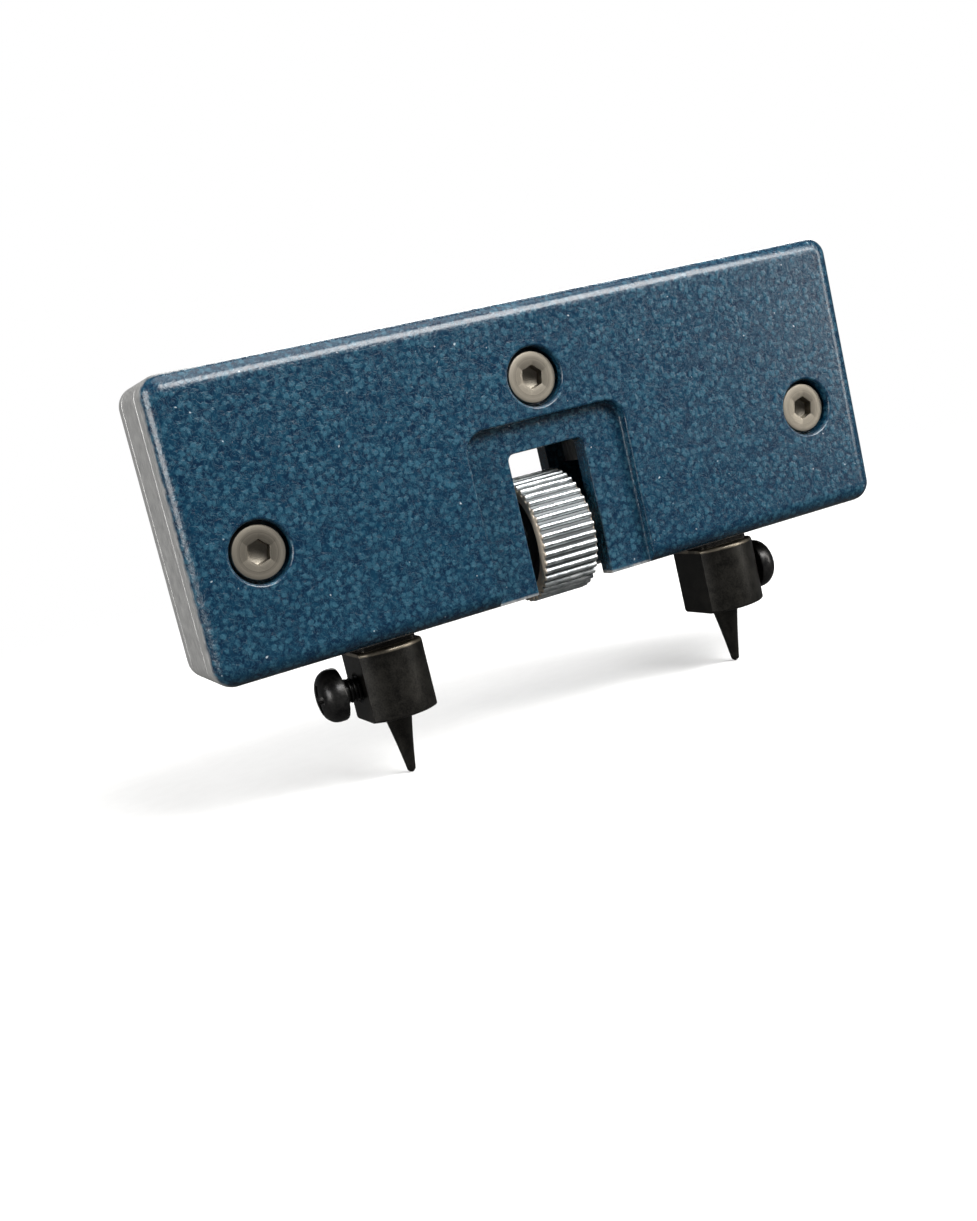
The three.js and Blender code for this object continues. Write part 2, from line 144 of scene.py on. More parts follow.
class OpenerColours(bpy.types.PropertyGroup):
    """Colours of the tool's finishes and of the floor."""
    paint_ground: tint("Paint ground", 0.0003, 0.011, 0.031, "Paint between the pebbles")
    paint_middle: tint("Paint middle", 0.002, 0.027, 0.055, "Paint on a pebble's slope")
    paint_light: tint("Paint light", 0.025, 0.085, 0.128, "Paint on top of a pebble")
    bare_dark: tint("Bare metal dark", 0.25, 0.25, 0.25, "Dark streaks of the bare sides")
    bare_light: tint("Bare metal light", 0.5, 0.5, 0.49, "Light streaks of the bare sides")
    zinc_dark: tint("Zinc dark", 0.3, 0.325, 0.34, "Dark grain of the wheel")
    zinc_light: tint("Zinc light", 0.66, 0.69, 0.7, "Light grain of the wheel")
    # Painted shade between the wheel's ridges, and darker in its dish
    painted_groove_shade: tint("Groove painted shade", 0.15, 0.16, 0.165, "Painted shade between the wheel's ridges and in its dish")
    wheel_rim: tint("Wheel rim", 0.72, 0.63, 0.52, "The warm turned rim on the wheel's sides")
    # Rubbed oxide on the collars' top edge, with a painted highlight there
    rubbed_edge_and_highlight: tint("Rubbed edge and highlight", 0.3, 0.26, 0.2, "Where the oxide is rubbed off the collars and a highlight is painted on their top edge")
    oxide_dark: tint("Black oxide dark", 0.004, 0.0038, 0.0033, "Dark tone of the jaws and tips")
    oxide_light: tint("Black oxide light", 0.022, 0.0205, 0.0175, "Light tone of the jaws and tips")
    screw_dark: tint("Clamp screw dark", 0.012, 0.012, 0.013, "Dark tone of the clamp screws")
    screw_light: tint("Clamp screw light", 0.04, 0.039, 0.038, "Light tone of the clamp screws")
    satin_dark: tint("Cover screw dark", 0.16, 0.145, 0.12, "Dark turned marks of the cover screws")
    satin_light: tint("Cover screw light", 0.27, 0.245, 0.205, "Light turned marks of the cover screws")
    steel_dark: tint("Steel dark", 0.42, 0.42, 0.42, "Dark grain of the lead screw, washers and dowels")
    steel_light: tint("Steel light", 0.68, 0.68, 0.67, "Light grain of the lead screw, washers and dowels")
    bronze_dark: tint("Bronze dark", 0.32, 0.19, 0.09, "Dark tone of the bushes")
    bronze_light: tint("Bronze light", 0.56, 0.36, 0.18, "Light tone of the bushes")
    floor: tint("Floor", 0.8, 0.8, 0.8, "The plain floor")


def sizes():
    """The sizes, with their lengths in millimetres."""
    group = bpy.context.scene.opener_sizes
    return SimpleNamespace(**{
        name: getattr(group, name) / (MM if group.bl_rna.properties[name].unit == "LENGTH" else 1)
        for name in group.__annotations__})


def colours():
    """The colours as opaque ones with four parts."""
    group = bpy.context.scene.opener_colours
    return SimpleNamespace(**{name: (*getattr(group, name), 1) for name in group.__annotations__})


def shaded(colour, factor):
    """A colour made lighter or darker."""
    return (*[value * factor for value in colour[:3]], 1)


# ---------------------------------------------------------------- mesh helpers

def mesh_object(name, vertices, faces):
    """A new object from points in millimetres."""
    mesh = bpy.data.meshes.new(name)
    mesh.from_pydata([tuple(value * MM for value in point) for point in vertices], [], faces)
    mesh.update()
    made = bpy.data.objects.new(name, mesh)
    bpy.context.scene.collection.objects.link(made)
    return made


def ring_solid(name, rings, closed=False):
    """A solid through rings of equal length; a ring of one point is a pole, and closed joins the ends."""
    vertices = [point for ring in rings for point in ring]
    starts = [sum(len(ring) for ring in rings[:i]) for i in range(len(rings) + 1)]
    steps = list(zip(rings, rings[1:], starts, starts[1:]))
    if closed:
        steps.append((rings[-1], rings[0], starts[-2], 0))
    faces = []
    for low, high, start, following in steps:
        count = max(len(low), len(high))
        for i in range(count):
            j = (i + 1) % count
            if len(low) == 1:
                faces.append((start, following + j, following + i))
            elif len(high) == 1:
                faces.append((start + i, start + j, following))
            else:
                faces.append((start + i, start + j, following + j, following + i))
    if len(rings[0]) > 1 and not closed:
        faces.append(tuple(reversed(range(len(rings[0])))))
    if len(rings[-1]) > 1 and not closed:
        faces.append(tuple(range(starts[-2], starts[-1])))
    made = mesh_object(name, vertices, faces)
    face_outwards(made)
    return made


def face_outwards(made):
    """Turn the faces outwards: a closed mesh whose signed volume is negative is inside out."""
    mesh = made.data
    mesh.calc_loop_triangles()
    volume = 0.0
    for triangle in mesh.loop_triangles:
        a, b, c = (mesh.vertices[i].co for i in triangle.vertices)
        volume += a.dot(b.cross(c))
    if volume < 0:
        mesh.flip_normals()


def on_axis(axis, along, radius, angle, centre):
    """A point at a radius and angle round an axis through a centre."""
    u = radius * math.cos(angle)
    v = radius * math.sin(angle)
    offset = {"x": (along, u, v), "y": (v, along, u), "z": (u, v, along)}[axis]
    return tuple(c + o for c, o in zip(centre, offset))


def turned(name, profile, axis, centre, steps=96, closed=False):
    """A turned solid from [radius, along] points; a zero radius is a pole."""
    rings = [[on_axis(axis, along, radius, 2 * math.pi * i / steps, centre)
              for i in range(steps if radius > 0 else 1)] for radius, along in profile]
    return ring_solid(name, rings, closed)


def turned_about_x(name, profile, steps, closed=False):
    """A turned solid about the lead screw's axis."""
    return turned(name, profile, "x", (0, 0, AXIS_Z), steps, closed)


def both_ends(side, end):
    """A profile made of one end of a symmetric turned solid, its copy at the other end, and the poles."""
    return [(0, -end)] + [(radius, -along) for radius, along in side] + side[::-1] + [(0, end)]


def arc(centre, radius, start, end, steps):
    """Points on an arc of a profile, its angles in degrees."""
    points = []
    for i in range(steps + 1):
        angle = math.radians(start + (end - start) * i / steps)
        points.append((centre[0] + radius * math.cos(angle), centre[1] + radius * math.sin(angle)))
    return points


def rounded_outline(half_width, low, high, radius, offset=0.0, corner_steps=12):
    """A rectangle with round corners in X and Z, grown by an offset."""
    reach = max(radius + offset, 0.01)
    half = half_width + offset - reach
    bottom = low - offset + reach
    top = high + offset - reach
    points = []
    for cx, cz, first in ((half, bottom, -90), (half, top, 0), (-half, top, 90), (-half, bottom, 180)):
        points += arc((cx, cz), reach, first, first + 90, corner_steps)
    return points


def lofted(name, outline, levels):
    """A solid through copies of an outline: each level is (y, offset)."""
    return ring_solid(name, [[(x, y, z) for x, z in outline(offset)] for y, offset in levels])


def settled(made):
    """Apply an object's modifiers to its mesh."""
    graph = bpy.context.evaluated_depsgraph_get()
    graph.update()
    mesh = bpy.data.meshes.new_from_object(made.evaluated_get(graph), depsgraph=graph)
    made.modifiers.clear()
    old = made.data
    made.data = mesh
    mesh.name = made.name
    if old.users == 0:
        bpy.data.meshes.remove(old)
    return made


def combined(made, others, operation="DIFFERENCE"):
    """Cut the others from an object, or keep what they share."""
    for other in others:
        step = made.modifiers.new("cut", "BOOLEAN")
        step.operation = operation
        step.solver = "EXACT"
        step.object = other
    settled(made)
    for other in others:
        bpy.data.objects.remove(other)
    return made


def smooth(made, sharp_degrees=30):
    """Smooth shading with sharp edges kept, and flat faces shaded flat."""
    made.data.shade_smooth()
    made.data.set_sharp_from_angle(angle=math.radians(sharp_degrees))
    weighted = made.modifiers.new("weighted", "WEIGHTED_NORMAL")
    weighted.keep_sharp = True
    weighted.weight = 100
    return settled(made)


def eased(made, width, segments=2, sharp_degrees=32):
    """Take the sharpness off an object's edges."""
    bevel = made.modifiers.new("ease", "BEVEL")
    bevel.width = width * MM
    bevel.segments = segments
    bevel.limit_method = "ANGLE"
    bevel.angle_limit = math.radians(sharp_degrees)
    bevel.harden_normals = False
    return settled(made)


def place(made, body, slot, finish, *nodes):
    """Give a finished piece its material and its body, and hide the CAD nodes that it stands for."""
    made.data.materials.clear()
    made.data.materials.append(finish)
    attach(made, body)
    if nodes:
        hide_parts(*nodes)
    return made


# ---------------------------------------------------------------- shader helpers

def feed(socket, source):
    """Link a socket to a source, or set it to one."""
    if isinstance(source, bpy.types.NodeSocket):
        socket.id_data.links.new(source, socket)
    else:
        socket.default_value = source


def tree_of(*sources):
    """The node tree of the first source that is a socket."""
    return next(source.id_data for source in sources if isinstance(source, bpy.types.NodeSocket))


def add_node(tree, kind, inputs=None, **settings):
    """A node with its settings, and its inputs set or linked."""
    made = tree.nodes.new(kind)
    for key, setting in settings.items():
        setattr(made, key, setting)
    for key, source in (inputs or {}).items():
        feed(made.inputs[key], source)
    return made


def calculate(operation, *terms, clamp=False):
    """A Math node's result."""
    return add_node(tree_of(*terms), "ShaderNodeMath", dict(enumerate(terms)), operation=operation,
                    use_clamp=clamp).outputs[0]


times = partial(calculate, "MULTIPLY")
plus = partial(calculate, "ADD")
minus = partial(calculate, "SUBTRACT")
over = partial(calculate, "DIVIDE")
magnitude = partial(calculate, "ABSOLUTE")
larger = partial(calculate, "MAXIMUM")


def vector_math(operation, *terms, output=0):
    """A Vector Math node's result."""
    return add_node(tree_of(*terms), "ShaderNodeVectorMath", dict(enumerate(terms)),
                    operation=operation).outputs[output]


def part(vector, index):
    """The X, Y or Z part of a vector."""
    return add_node(tree_of(vector), "ShaderNodeSeparateXYZ", {0: vector}).outputs[index]


def fade(source, start, end, low=0.0, high=1.0):
    """A smooth change from one value to another as the source goes from start to end."""
    inputs = {"Value": source, "From Min": start, "From Max": end, "To Min": low, "To Max": high}
    return add_node(tree_of(source), "ShaderNodeMapRange", inputs,
                    interpolation_type="SMOOTHSTEP").outputs["Result"]


def blended(factor, first, second):
    """Two colours mixed."""
    inputs = {0: factor, 6: first, 7: second}
    return add_node(tree_of(factor), "ShaderNodeMix", inputs, data_type="RGBA").outputs[2]


def cells(vector, scale):
    """Cell distance and a random value for each cell."""
    made = add_node(tree_of(vector), "ShaderNodeTexVoronoi", {"Vector": vector, "Scale": scale})
    chance = add_node(tree_of(vector), "ShaderNodeSeparateColor", {"Color": made.outputs["Color"]})
    return made.outputs["Distance"], chance.outputs[0]


def noise(vector, scale, detail=2.0, distortion=0.0, roughness=0.5, output=0):
    return add_node(tree_of(vector), "ShaderNodeTexNoise", {
        "Vector": vector, "Scale": scale, "Detail": detail,
        "Distortion": distortion, "Roughness": roughness}).outputs[output]


def new_group(name, inputs, outputs):
    """An empty shader group with named sockets."""
    group = bpy.data.node_groups.new(name, "ShaderNodeTree")
    for label, kind, default in inputs:
        socket = group.interface.new_socket(label, in_out="INPUT", socket_type="NodeSocket" + kind)
        if default is not None:
            socket.default_value = default
    for label, kind in outputs:
        group.interface.new_socket(label, in_out="OUTPUT", socket_type="NodeSocket" + kind)
    return group, group.nodes.new("NodeGroupInput").outputs, group.nodes.new("NodeGroupOutput").inputs


def grouped(group, inputs):
    """A group placed in the tree of its inputs; gives its outputs."""
    return add_node(tree_of(*inputs.values()), "ShaderNodeGroup", inputs, node_tree=group).outputs


# The paint's pattern: scales are cells in a millimetre, edges are where a fade starts and ends
WANDER = 0.55
SMALL_PEBBLES = 1.9
PEBBLE_EDGE = (0.6, 0.26)
SMALL_PEBBLE_EDGE = (0.42, 0.12)
THREAD_EDGE = (0.055, 0.0)
GROUND_EDGE = (0.3, 0.72)
# Painted glints: sparse white specks that go into the paint's colour
GLINT_SCALE = 0.8
GLINT_EDGE = (0.11, 0.04)
GLINT_CHANCE = (0.72, 0.9)

# The bare sides: how far from the outline the bare band starts, and how softly the paint stops
SIDE_EDGE = (-0.5, -0.2)
PAINT_STOP_EDGE = (-0.25, 0.45)
PAINT_STOP = 1.25
PAINT_RAGGEDNESS = 0.8
SIDE_STREAK = (1.0, 1.0, 0.12)
SIDE_FINENESS = 5.0

# Pits in the metals and how much lighter they are, and how dark the painted shade in the wheel's dish is
PIT_SCALE = 3.2
PIT_EDGE = (0.2, 0.05)
PIT_CHANCE = (0.6, 0.9)
PIT_LIGHT = 2.2
DISH_SHADE = 0.25


def hammer_tone_group():
    """Hammer-tone paint: rounded pale pebbles of two sizes and curled threads over a dark ground, and a
    mask of painted glints.
    """
    group, given, result = new_group("Hammer tone", (
        ("Vector", "Vector", None), ("Ground", "Color", (0, 0, 0, 1)), ("Middle", "Color", (0, 0, 0, 1)),
        ("Light", "Color", (1, 1, 1, 1)), ("Pebble", "Float", 1.0),
    ), (("Color", "Color"), ("Height", "Float"), ("Glint", "Float")))
    vector = given["Vector"]
    wander = noise(vector, 1.6, output="Color")
    bent = vector_math("ADD", vector, vector_math("MULTIPLY", wander, (WANDER, WANDER, WANDER)))
    pebble_scale = over(1.0, given["Pebble"])
    fine = noise(vector, 2.6, 3.0, 0.4, 0.6)
    rough_edge = times(minus(fine, 0.5), 0.7)
    far, chance = cells(bent, pebble_scale)
    far = plus(far, rough_edge)
    spot = fade(far, *PEBBLE_EDGE)
    spot = times(spot, fade(chance, -0.25, 0.85))
    small_far, small_chance = cells(bent, times(pebble_scale, SMALL_PEBBLES))
    small_far = plus(small_far, rough_edge)
    small = times(fade(small_far, *SMALL_PEBBLE_EDGE), fade(small_chance, 0.45, 1.0))
    swirl = noise(vector, 1.7, 2.0, 1.2, 0.55)
    ridge = magnitude(minus(swirl, 0.5))
    thread = fade(ridge, *THREAD_EDGE)
    cloud = noise(vector, 0.35, 3.0)
    low = fade(noise(vector, 1.1, 4.0, 0.6), *GROUND_EDGE)
    base = blended(low, given["Ground"], given["Middle"])
    pale = plus(times(spot, 0.72), times(small, 0.42), clamp=True)
    pale = plus(pale, times(thread, 0.45), clamp=True)
    pale = times(pale, fade(cloud, 0.2, 0.75, 0.75, 1.05))
    group.links.new(blended(pale, base, given["Light"]), result["Color"])
    height = plus(times(spot, 0.6), times(thread, 0.3))
    height = plus(height, times(low, 0.5))
    group.links.new(height, result["Height"])
    # Painted glints: a mask of sparse specks
    glint_far, glint_chance = cells(bent, GLINT_SCALE)
    glint = times(fade(glint_far, *GLINT_EDGE), fade(glint_chance, *GLINT_CHANCE))
    group.links.new(glint, result["Glint"])
    return group


def bare_edge_group():
    """Where the paint stops: 1 on the outer sides of the body behind the painted front or rear edge."""
    group, given, result = new_group("Bare edge", (
        ("Vector", "Vector", None), ("Half width", "Float", 45.0), ("Half height", "Float", 17.0),
        ("Middle height", "Float", 34.0), ("Corner", "Float", 2.4), ("Paint edge", "Float", 6.6),
    ), (("Mask", "Float"),))
    x, y, z = (part(given["Vector"], index) for index in range(3))
    across = minus(magnitude(x), minus(given["Half width"], given["Corner"]))
    up = magnitude(minus(z, given["Middle height"]))
    up = minus(up, minus(given["Half height"], given["Corner"]))
    squares = [calculate("POWER", larger(distance, 0.0), 2.0) for distance in (across, up)]
    outer = calculate("SQRT", plus(*squares))
    inner = calculate("MINIMUM", larger(across, up), 0.0)
    reach = minus(plus(outer, inner), given["Corner"])
    on_side = fade(reach, *SIDE_EDGE)
    ragged = times(minus(noise(given["Vector"], 0.9, 3.0), 0.5), PAINT_RAGGEDNESS)
    depth = plus(magnitude(y), ragged)
    behind = fade(minus(given["Paint edge"], depth), *PAINT_STOP_EDGE)
    group.links.new(times(on_side, behind), result["Mask"])
    return group


def grain_group():
    """Metal grain: fine streaks, pits and slow cloudy change, for any bare metal."""
    group, given, result = new_group("Metal grain", (
        ("Vector", "Vector", None), ("Streak", "Vector", (1, 1, 1)), ("Fineness", "Float", 6.0),
    ), (("Grain", "Float"), ("Cloud", "Float"), ("Pits", "Float")))
    drawn = vector_math("MULTIPLY", given["Vector"], given["Streak"])
    group.links.new(noise(drawn, given["Fineness"], 4.0, 0.0, 0.7), result["Grain"])
    group.links.new(noise(given["Vector"], 0.55, 4.0, 0.5), result["Cloud"])
    far, chance = cells(given["Vector"], PIT_SCALE)
    pits = times(fade(far, *PIT_EDGE), fade(chance, *PIT_CHANCE))
    group.links.new(pits, result["Pits"])
    return group


def start_material(name):
    """A material, its shader and the object coordinate in millimetres."""
    made = bpy.data.materials.new(name)
    made.use_nodes = True
    tree = made.node_tree
    shader = tree.nodes["Principled BSDF"]
    coordinate = tree.nodes.new("ShaderNodeTexCoord").outputs["Object"]
    vector = add_node(tree, "ShaderNodeVectorMath", {0: coordinate, "Scale": 1 / MM}, operation="SCALE")
    return made, shader, vector.outputs[0]


def set_shader(shader, **inputs):
    """Set or link the shader's sockets; underscores stand for spaces."""
    for key, source in inputs.items():
        feed(shader.inputs[key.replace("_", " ")], source)


def bumped(height, distance):
    """A bump normal; the distance is in millimetres."""
    return add_node(tree_of(height), "ShaderNodeBump", {
        "Height": height, "Distance": distance * MM, "Strength": 1.0}).outputs["Normal"]


def painted_metal(hue, grain, hammer, bare_edge):
    """Blue hammer-tone paint that thins out to bare linished metal on the body's sides."""
    made, shader, vector = start_material("hammer_tone_paint")
    paint = grouped(hammer, {
        "Vector": vector, "Ground": hue.paint_ground, "Middle": hue.paint_middle,
        "Light": hue.paint_light, "Pebble": sizes().pebble_size})
    mask = grouped(bare_edge, {
        "Vector": vector, "Half width": BODY_HIGH.x, "Half height": (BODY_HIGH.z - BODY_LOW.z) / 2,
        "Middle height": (BODY_HIGH.z + BODY_LOW.z) / 2, "Corner": sizes().corner_radius,
        "Paint edge": BODY_HIGH.y - PAINT_STOP})["Mask"]
    metal = grouped(grain, {"Vector": vector, "Streak": SIDE_STREAK, "Fineness": SIDE_FINENESS})
    bare = blended(fade(metal["Grain"], 0.3, 0.7), hue.bare_dark, hue.bare_light)
    # Painted glints: white specks mixed into the paint's colour
    coloured = blended(times(paint["Glint"], 0.45), paint["Color"], (0.75, 0.85, 0.92, 1))
    rough = fade(metal["Grain"], 0.2, 0.8, 0.34, 0.5)
    glossy = fade(paint["Height"], 0.0, 1.2, 0.22, 0.17)
    keep = minus(1.0, mask)
    height = plus(times(paint["Height"], keep), times(times(metal["Grain"], mask), 0.25))
    set_shader(
        shader, Base_Color=blended(mask, coloured, bare), Metallic=times(mask, 0.5),
        Roughness=plus(times(rough, mask), times(glossy, keep)), Coat_Weight=times(keep, 0.2),
        Specular_IOR_Level=0.34, Coat_Roughness=0.14, Normal=bumped(height, 0.024))
    return made


def worked_metal(name, grain, dark, light, roughness, streak=(1, 1, 1), fineness=6.0, pits=0.0,
                 metallic=1.0, bump=0.006, rings=None, shade=None, wear_and_highlight=None, cloud=0.45):
    """A bare or plated metal with grain, cloud and pits.

    rings is (centre, axis) for turned marks round an axis. shade is (centre, inner, outer, half width,
    dish, shade colour, rim) for a wheel on the X axis: painted shade in its grooves, darker painted shade
    in its dish, and the rim colour of its sides.
    The wear and highlight argument is (height, band, colour) for an edge made bright at a height, partly
    rubbed oxide and partly a painted highlight.
    """
    made, shader, vector = start_material(name)
    drawn = radius_vector(vector, *rings) if rings else vector
    metal = grouped(grain, {"Vector": drawn, "Streak": streak, "Fineness": fineness})
    tone = plus(times(metal["Grain"], 1 - cloud), times(metal["Cloud"], cloud))
    colour = blended(fade(tone, 0.35, 0.65), dark, light)
    rough = fade(tone, 0.3, 0.7, roughness * 0.82, roughness * 1.2)
    if pits:
        colour = blended(times(metal["Pits"], pits), colour, shaded(light, PIT_LIGHT))
    if shade:
        centre, inner, outer, half_width, dish, groove_shade, rim = shade
        radius = part(radius_vector(vector, centre, "x"), 0)
        on_side = fade(magnitude(part(vector, 0)), half_width - 0.3, half_width - 0.12)
        # Painted shade: the grooves between the ridges and the dish in the sides are darkened in the colour
        shaded_groove = times(fade(radius, outer, inner), minus(1.0, on_side))
        dished = fade(radius, dish + 0.1, dish - 0.15)
        for mask, over_it in ((on_side, rim), (shaded_groove, groove_shade), (dished, shaded(groove_shade, DISH_SHADE))):
            colour = blended(mask, colour, over_it)
        rough = plus(rough, times(larger(larger(shaded_groove, dished), on_side), 0.25))
    # A bright band at the collar's top edge: rubbed oxide, with a painted highlight
    if wear_and_highlight:
        height, band, rubbed = wear_and_highlight
        away = magnitude(minus(part(vector, 2), height))
        patchy = fade(metal["Cloud"], 0.35, 0.6, 0.35, 1.0)
        colour = blended(times(fade(away, band, band * 0.35), patchy), colour, rubbed)
    set_shader(shader, Base_Color=colour, Metallic=metallic, Roughness=rough,
               Normal=bumped(metal["Grain"], bump))
    return made


def radius_vector(vector, centre, axis):
    """The distance from an axis through a centre, as the X part of a vector."""
    keep = {"x": (0, 1, 1), "y": (1, 0, 1)}[axis]
    flat = vector_math("MULTIPLY", vector_math("SUBTRACT", vector, tuple(centre)), keep)
    reach = vector_math("LENGTH", flat, output="Value")
    return add_node(tree_of(vector), "ShaderNodeCombineXYZ", {0: reach}).outputs[0]


# ---------------------------------------------------------------- geometry node trees

def geometry_tree(name, inputs):
    """A geometry tree with a geometry in and out and named inputs."""
    tree = bpy.data.node_groups.new(name, "GeometryNodeTree")
    tree.interface.new_socket("Geometry", in_out="INPUT", socket_type="NodeSocketGeometry")
    for label, kind in inputs:
        tree.interface.new_socket(label, in_out="INPUT", socket_type="NodeSocket" + kind)
    tree.interface.new_socket("Geometry", in_out="OUTPUT", socket_type="NodeSocketGeometry")
    return tree, tree.nodes.new("NodeGroupInput").outputs, tree.nodes.new("NodeGroupOutput").inputs


def run_tree(made, tree, values):
    """Run a geometry tree on an object with its inputs set, and keep the mesh."""
    step = made.modifiers.new(tree.name, "NODES")
    step.node_group = tree
    for item in tree.interface.items_tree:
        if item.in_out == "INPUT" and item.name in values:
            step[item.identifier] = values[item.name]
    return settled(made)


def joined_geometry(tree, added, given, result):
    """Join new geometry to the given one, realize instances, set the material and send it out."""
    both = tree.nodes.new("GeometryNodeJoinGeometry")
    for geometry in (given["Geometry"], added):
        tree.links.new(geometry, both.inputs[0])
    real = add_node(tree, "GeometryNodeRealizeInstances", {0: both.outputs[0]}).outputs[0]
    coated = add_node(tree, "GeometryNodeSetMaterial", {"Geometry": real, "Material": given["Material"]})
    tree.links.new(coated.outputs[0], result["Geometry"])


def points_about_x(tree, given, count, along, angle, reach, waves):
    """Points round a line along X at a height; waves names the functions that give Y and Z."""
    points = add_node(tree, "GeometryNodeMeshLine", {"Count": count}).outputs[0]
    y, z = (times(calculate(wave, angle), reach) for wave in waves)
    spot = add_node(tree, "ShaderNodeCombineXYZ", {0: along, 1: y, 2: plus(z, given["Axis height"])})
    return add_node(tree, "GeometryNodeSetPosition", {
        "Geometry": points, "Position": spot.outputs[0]}).outputs[0]


def ring_of_ridges_tree():
    """Copies of one ridge spaced evenly round the X axis, joined to the wheel's core."""
    tree, given, result = geometry_tree("Ring of ridges", (
        ("Ridge", "Object"), ("Count", "Int"), ("Radius", "Float"), ("Axis height", "Float"),
        ("Material", "Material")))
    index = add_node(tree, "GeometryNodeInputIndex").outputs[0]
    angle = times(index, over(2 * math.pi, given["Count"]))
    points = points_about_x(tree, given, given["Count"], 0.0, angle, given["Radius"], ("SINE", "COSINE"))
    turn = add_node(tree, "ShaderNodeCombineXYZ", {0: times(angle, -1.0)}).outputs[0]
    ridge = add_node(tree, "GeometryNodeObjectInfo", {"Object": given["Ridge"]}).outputs["Geometry"]
    copies = add_node(tree, "GeometryNodeInstanceOnPoints", {
        "Points": points, "Instance": ridge, "Rotation": turn}).outputs[0]
    joined_geometry(tree, copies, given, result)
    return tree


def thread_tree():
    """A helical thread along X, right-handed for a positive hand, joined to the bar that carries it."""
    tree, given, result = geometry_tree("Thread", (
        ("Start", "Float"), ("Length", "Float"), ("Pitch", "Float"), ("Hand", "Float"), ("Radius", "Float"),
        ("Depth", "Float"), ("Axis height", "Float"), ("Steps a turn", "Int"), ("Material", "Material")))
    turns = over(given["Length"], given["Pitch"])
    count = plus(calculate("ROUND", times(turns, given["Steps a turn"])), 1.0)
    index = add_node(tree, "GeometryNodeInputIndex").outputs[0]
    turn = over(index, given["Steps a turn"])
    angle = times(times(turn, 2 * math.pi), given["Hand"])
    along = plus(given["Start"], times(turn, given["Pitch"]))
    reach = minus(given["Radius"], given["Depth"])
    points = points_about_x(tree, given, count, along, angle, reach, ("COSINE", "SINE"))
    path = add_node(tree, "GeometryNodeMeshToCurve", {0: points}).outputs[0]
    section = add_node(tree, "GeometryNodeCurvePrimitiveCircle", {
        "Resolution": THREAD_SECTION_STEPS, "Radius": given["Depth"]}).outputs[0]
    ridge = add_node(tree, "GeometryNodeCurveToMesh", {
        "Curve": path, "Profile Curve": section, "Fill Caps": True}).outputs[0]
    joined_geometry(tree, ridge, given, result)
    return tree


# ---------------------------------------------------------------- the pieces

# Radii inside the tool, in millimetres
WHEEL_BORE = 2.55
BUSH_HOLE = 3.1
BUSH_SLEEVE = 2.8
BUSH_BORE = 1.9
JOURNAL = 1.6
DRIVE_BORE = 2.62
TIP_BORE = 1.86
TIP_BORE_MOUTH = 2.12
CLAMP_BORE = 1.55
CLAMP_BORE_MOUTH = 1.9
CLAMP_SHANK = 1.22
CLAMP_THREAD = 1.5
CLAMP_THREAD_DEPTH = 0.17
COVER_SCREW_HOLE = 1.8
COVER_SCREW_SHANK = 1.5

# Half the width and depth of a jaw's neck, and half the depth of its nut
NECK_HALF = (3.5, 3.3)
NUT_HALF_DEPTH = 3.7

# How far cuts run past what they cut
CUT_OVERRUN = 1.0
OPENING_OVERRUN = 12
BAY_OVERRUN = 5
SCREW_HOLE_DEPTH = 6

# Radius of the channel's and the bay's corners
BAY_CORNER = 0.8

# How far a cover's face shrinks inside its fillet, and the slot's lip as a share of the recess's
FACE_SHRINK = 0.08
SLOT_LIP_SHARE = 0.6

# A wheel ridge's section: points of (across, up) for a ridge of the default depth, then its
# levels along the axis of (place, lift, shrink)
RIDGE_SECTION_HEIGHT = 0.42
RIDGE_HALF_SECTION = ((0.08, 0.42), (0.22, 0.34), (0.33, 0.2), (0.41, 0.0), (0.44, -0.14))
RIDGE_LEVELS = ((-1, -0.22, 0.7), (-0.98, -0.06, 0.94), (-0.95, 0, 1), (0.95, 0, 1), (0.98, -0.06, 0.94),
                (1, -0.22, 0.7))

# The cross recess's blades: depth, span and width at each level
CROSS_LEVELS = ((-0.6, 3.9, 0.98), (0.35, 3.3, 0.9), (1.1, 1.9, 0.66), (1.5, 1.0, 0.5))

# Straight steps round turned and rounded shapes
WHEEL_STEPS = 144
SLEEVE_STEPS = 64
THREAD_SECTION_STEPS = 5
FILLET_STEPS = 10
LIP_STEPS = 5
FLOOR_FILLET_STEPS = 4
DOME_STEPS = 14
TAPER_STEPS = 24

FINISHES = {}


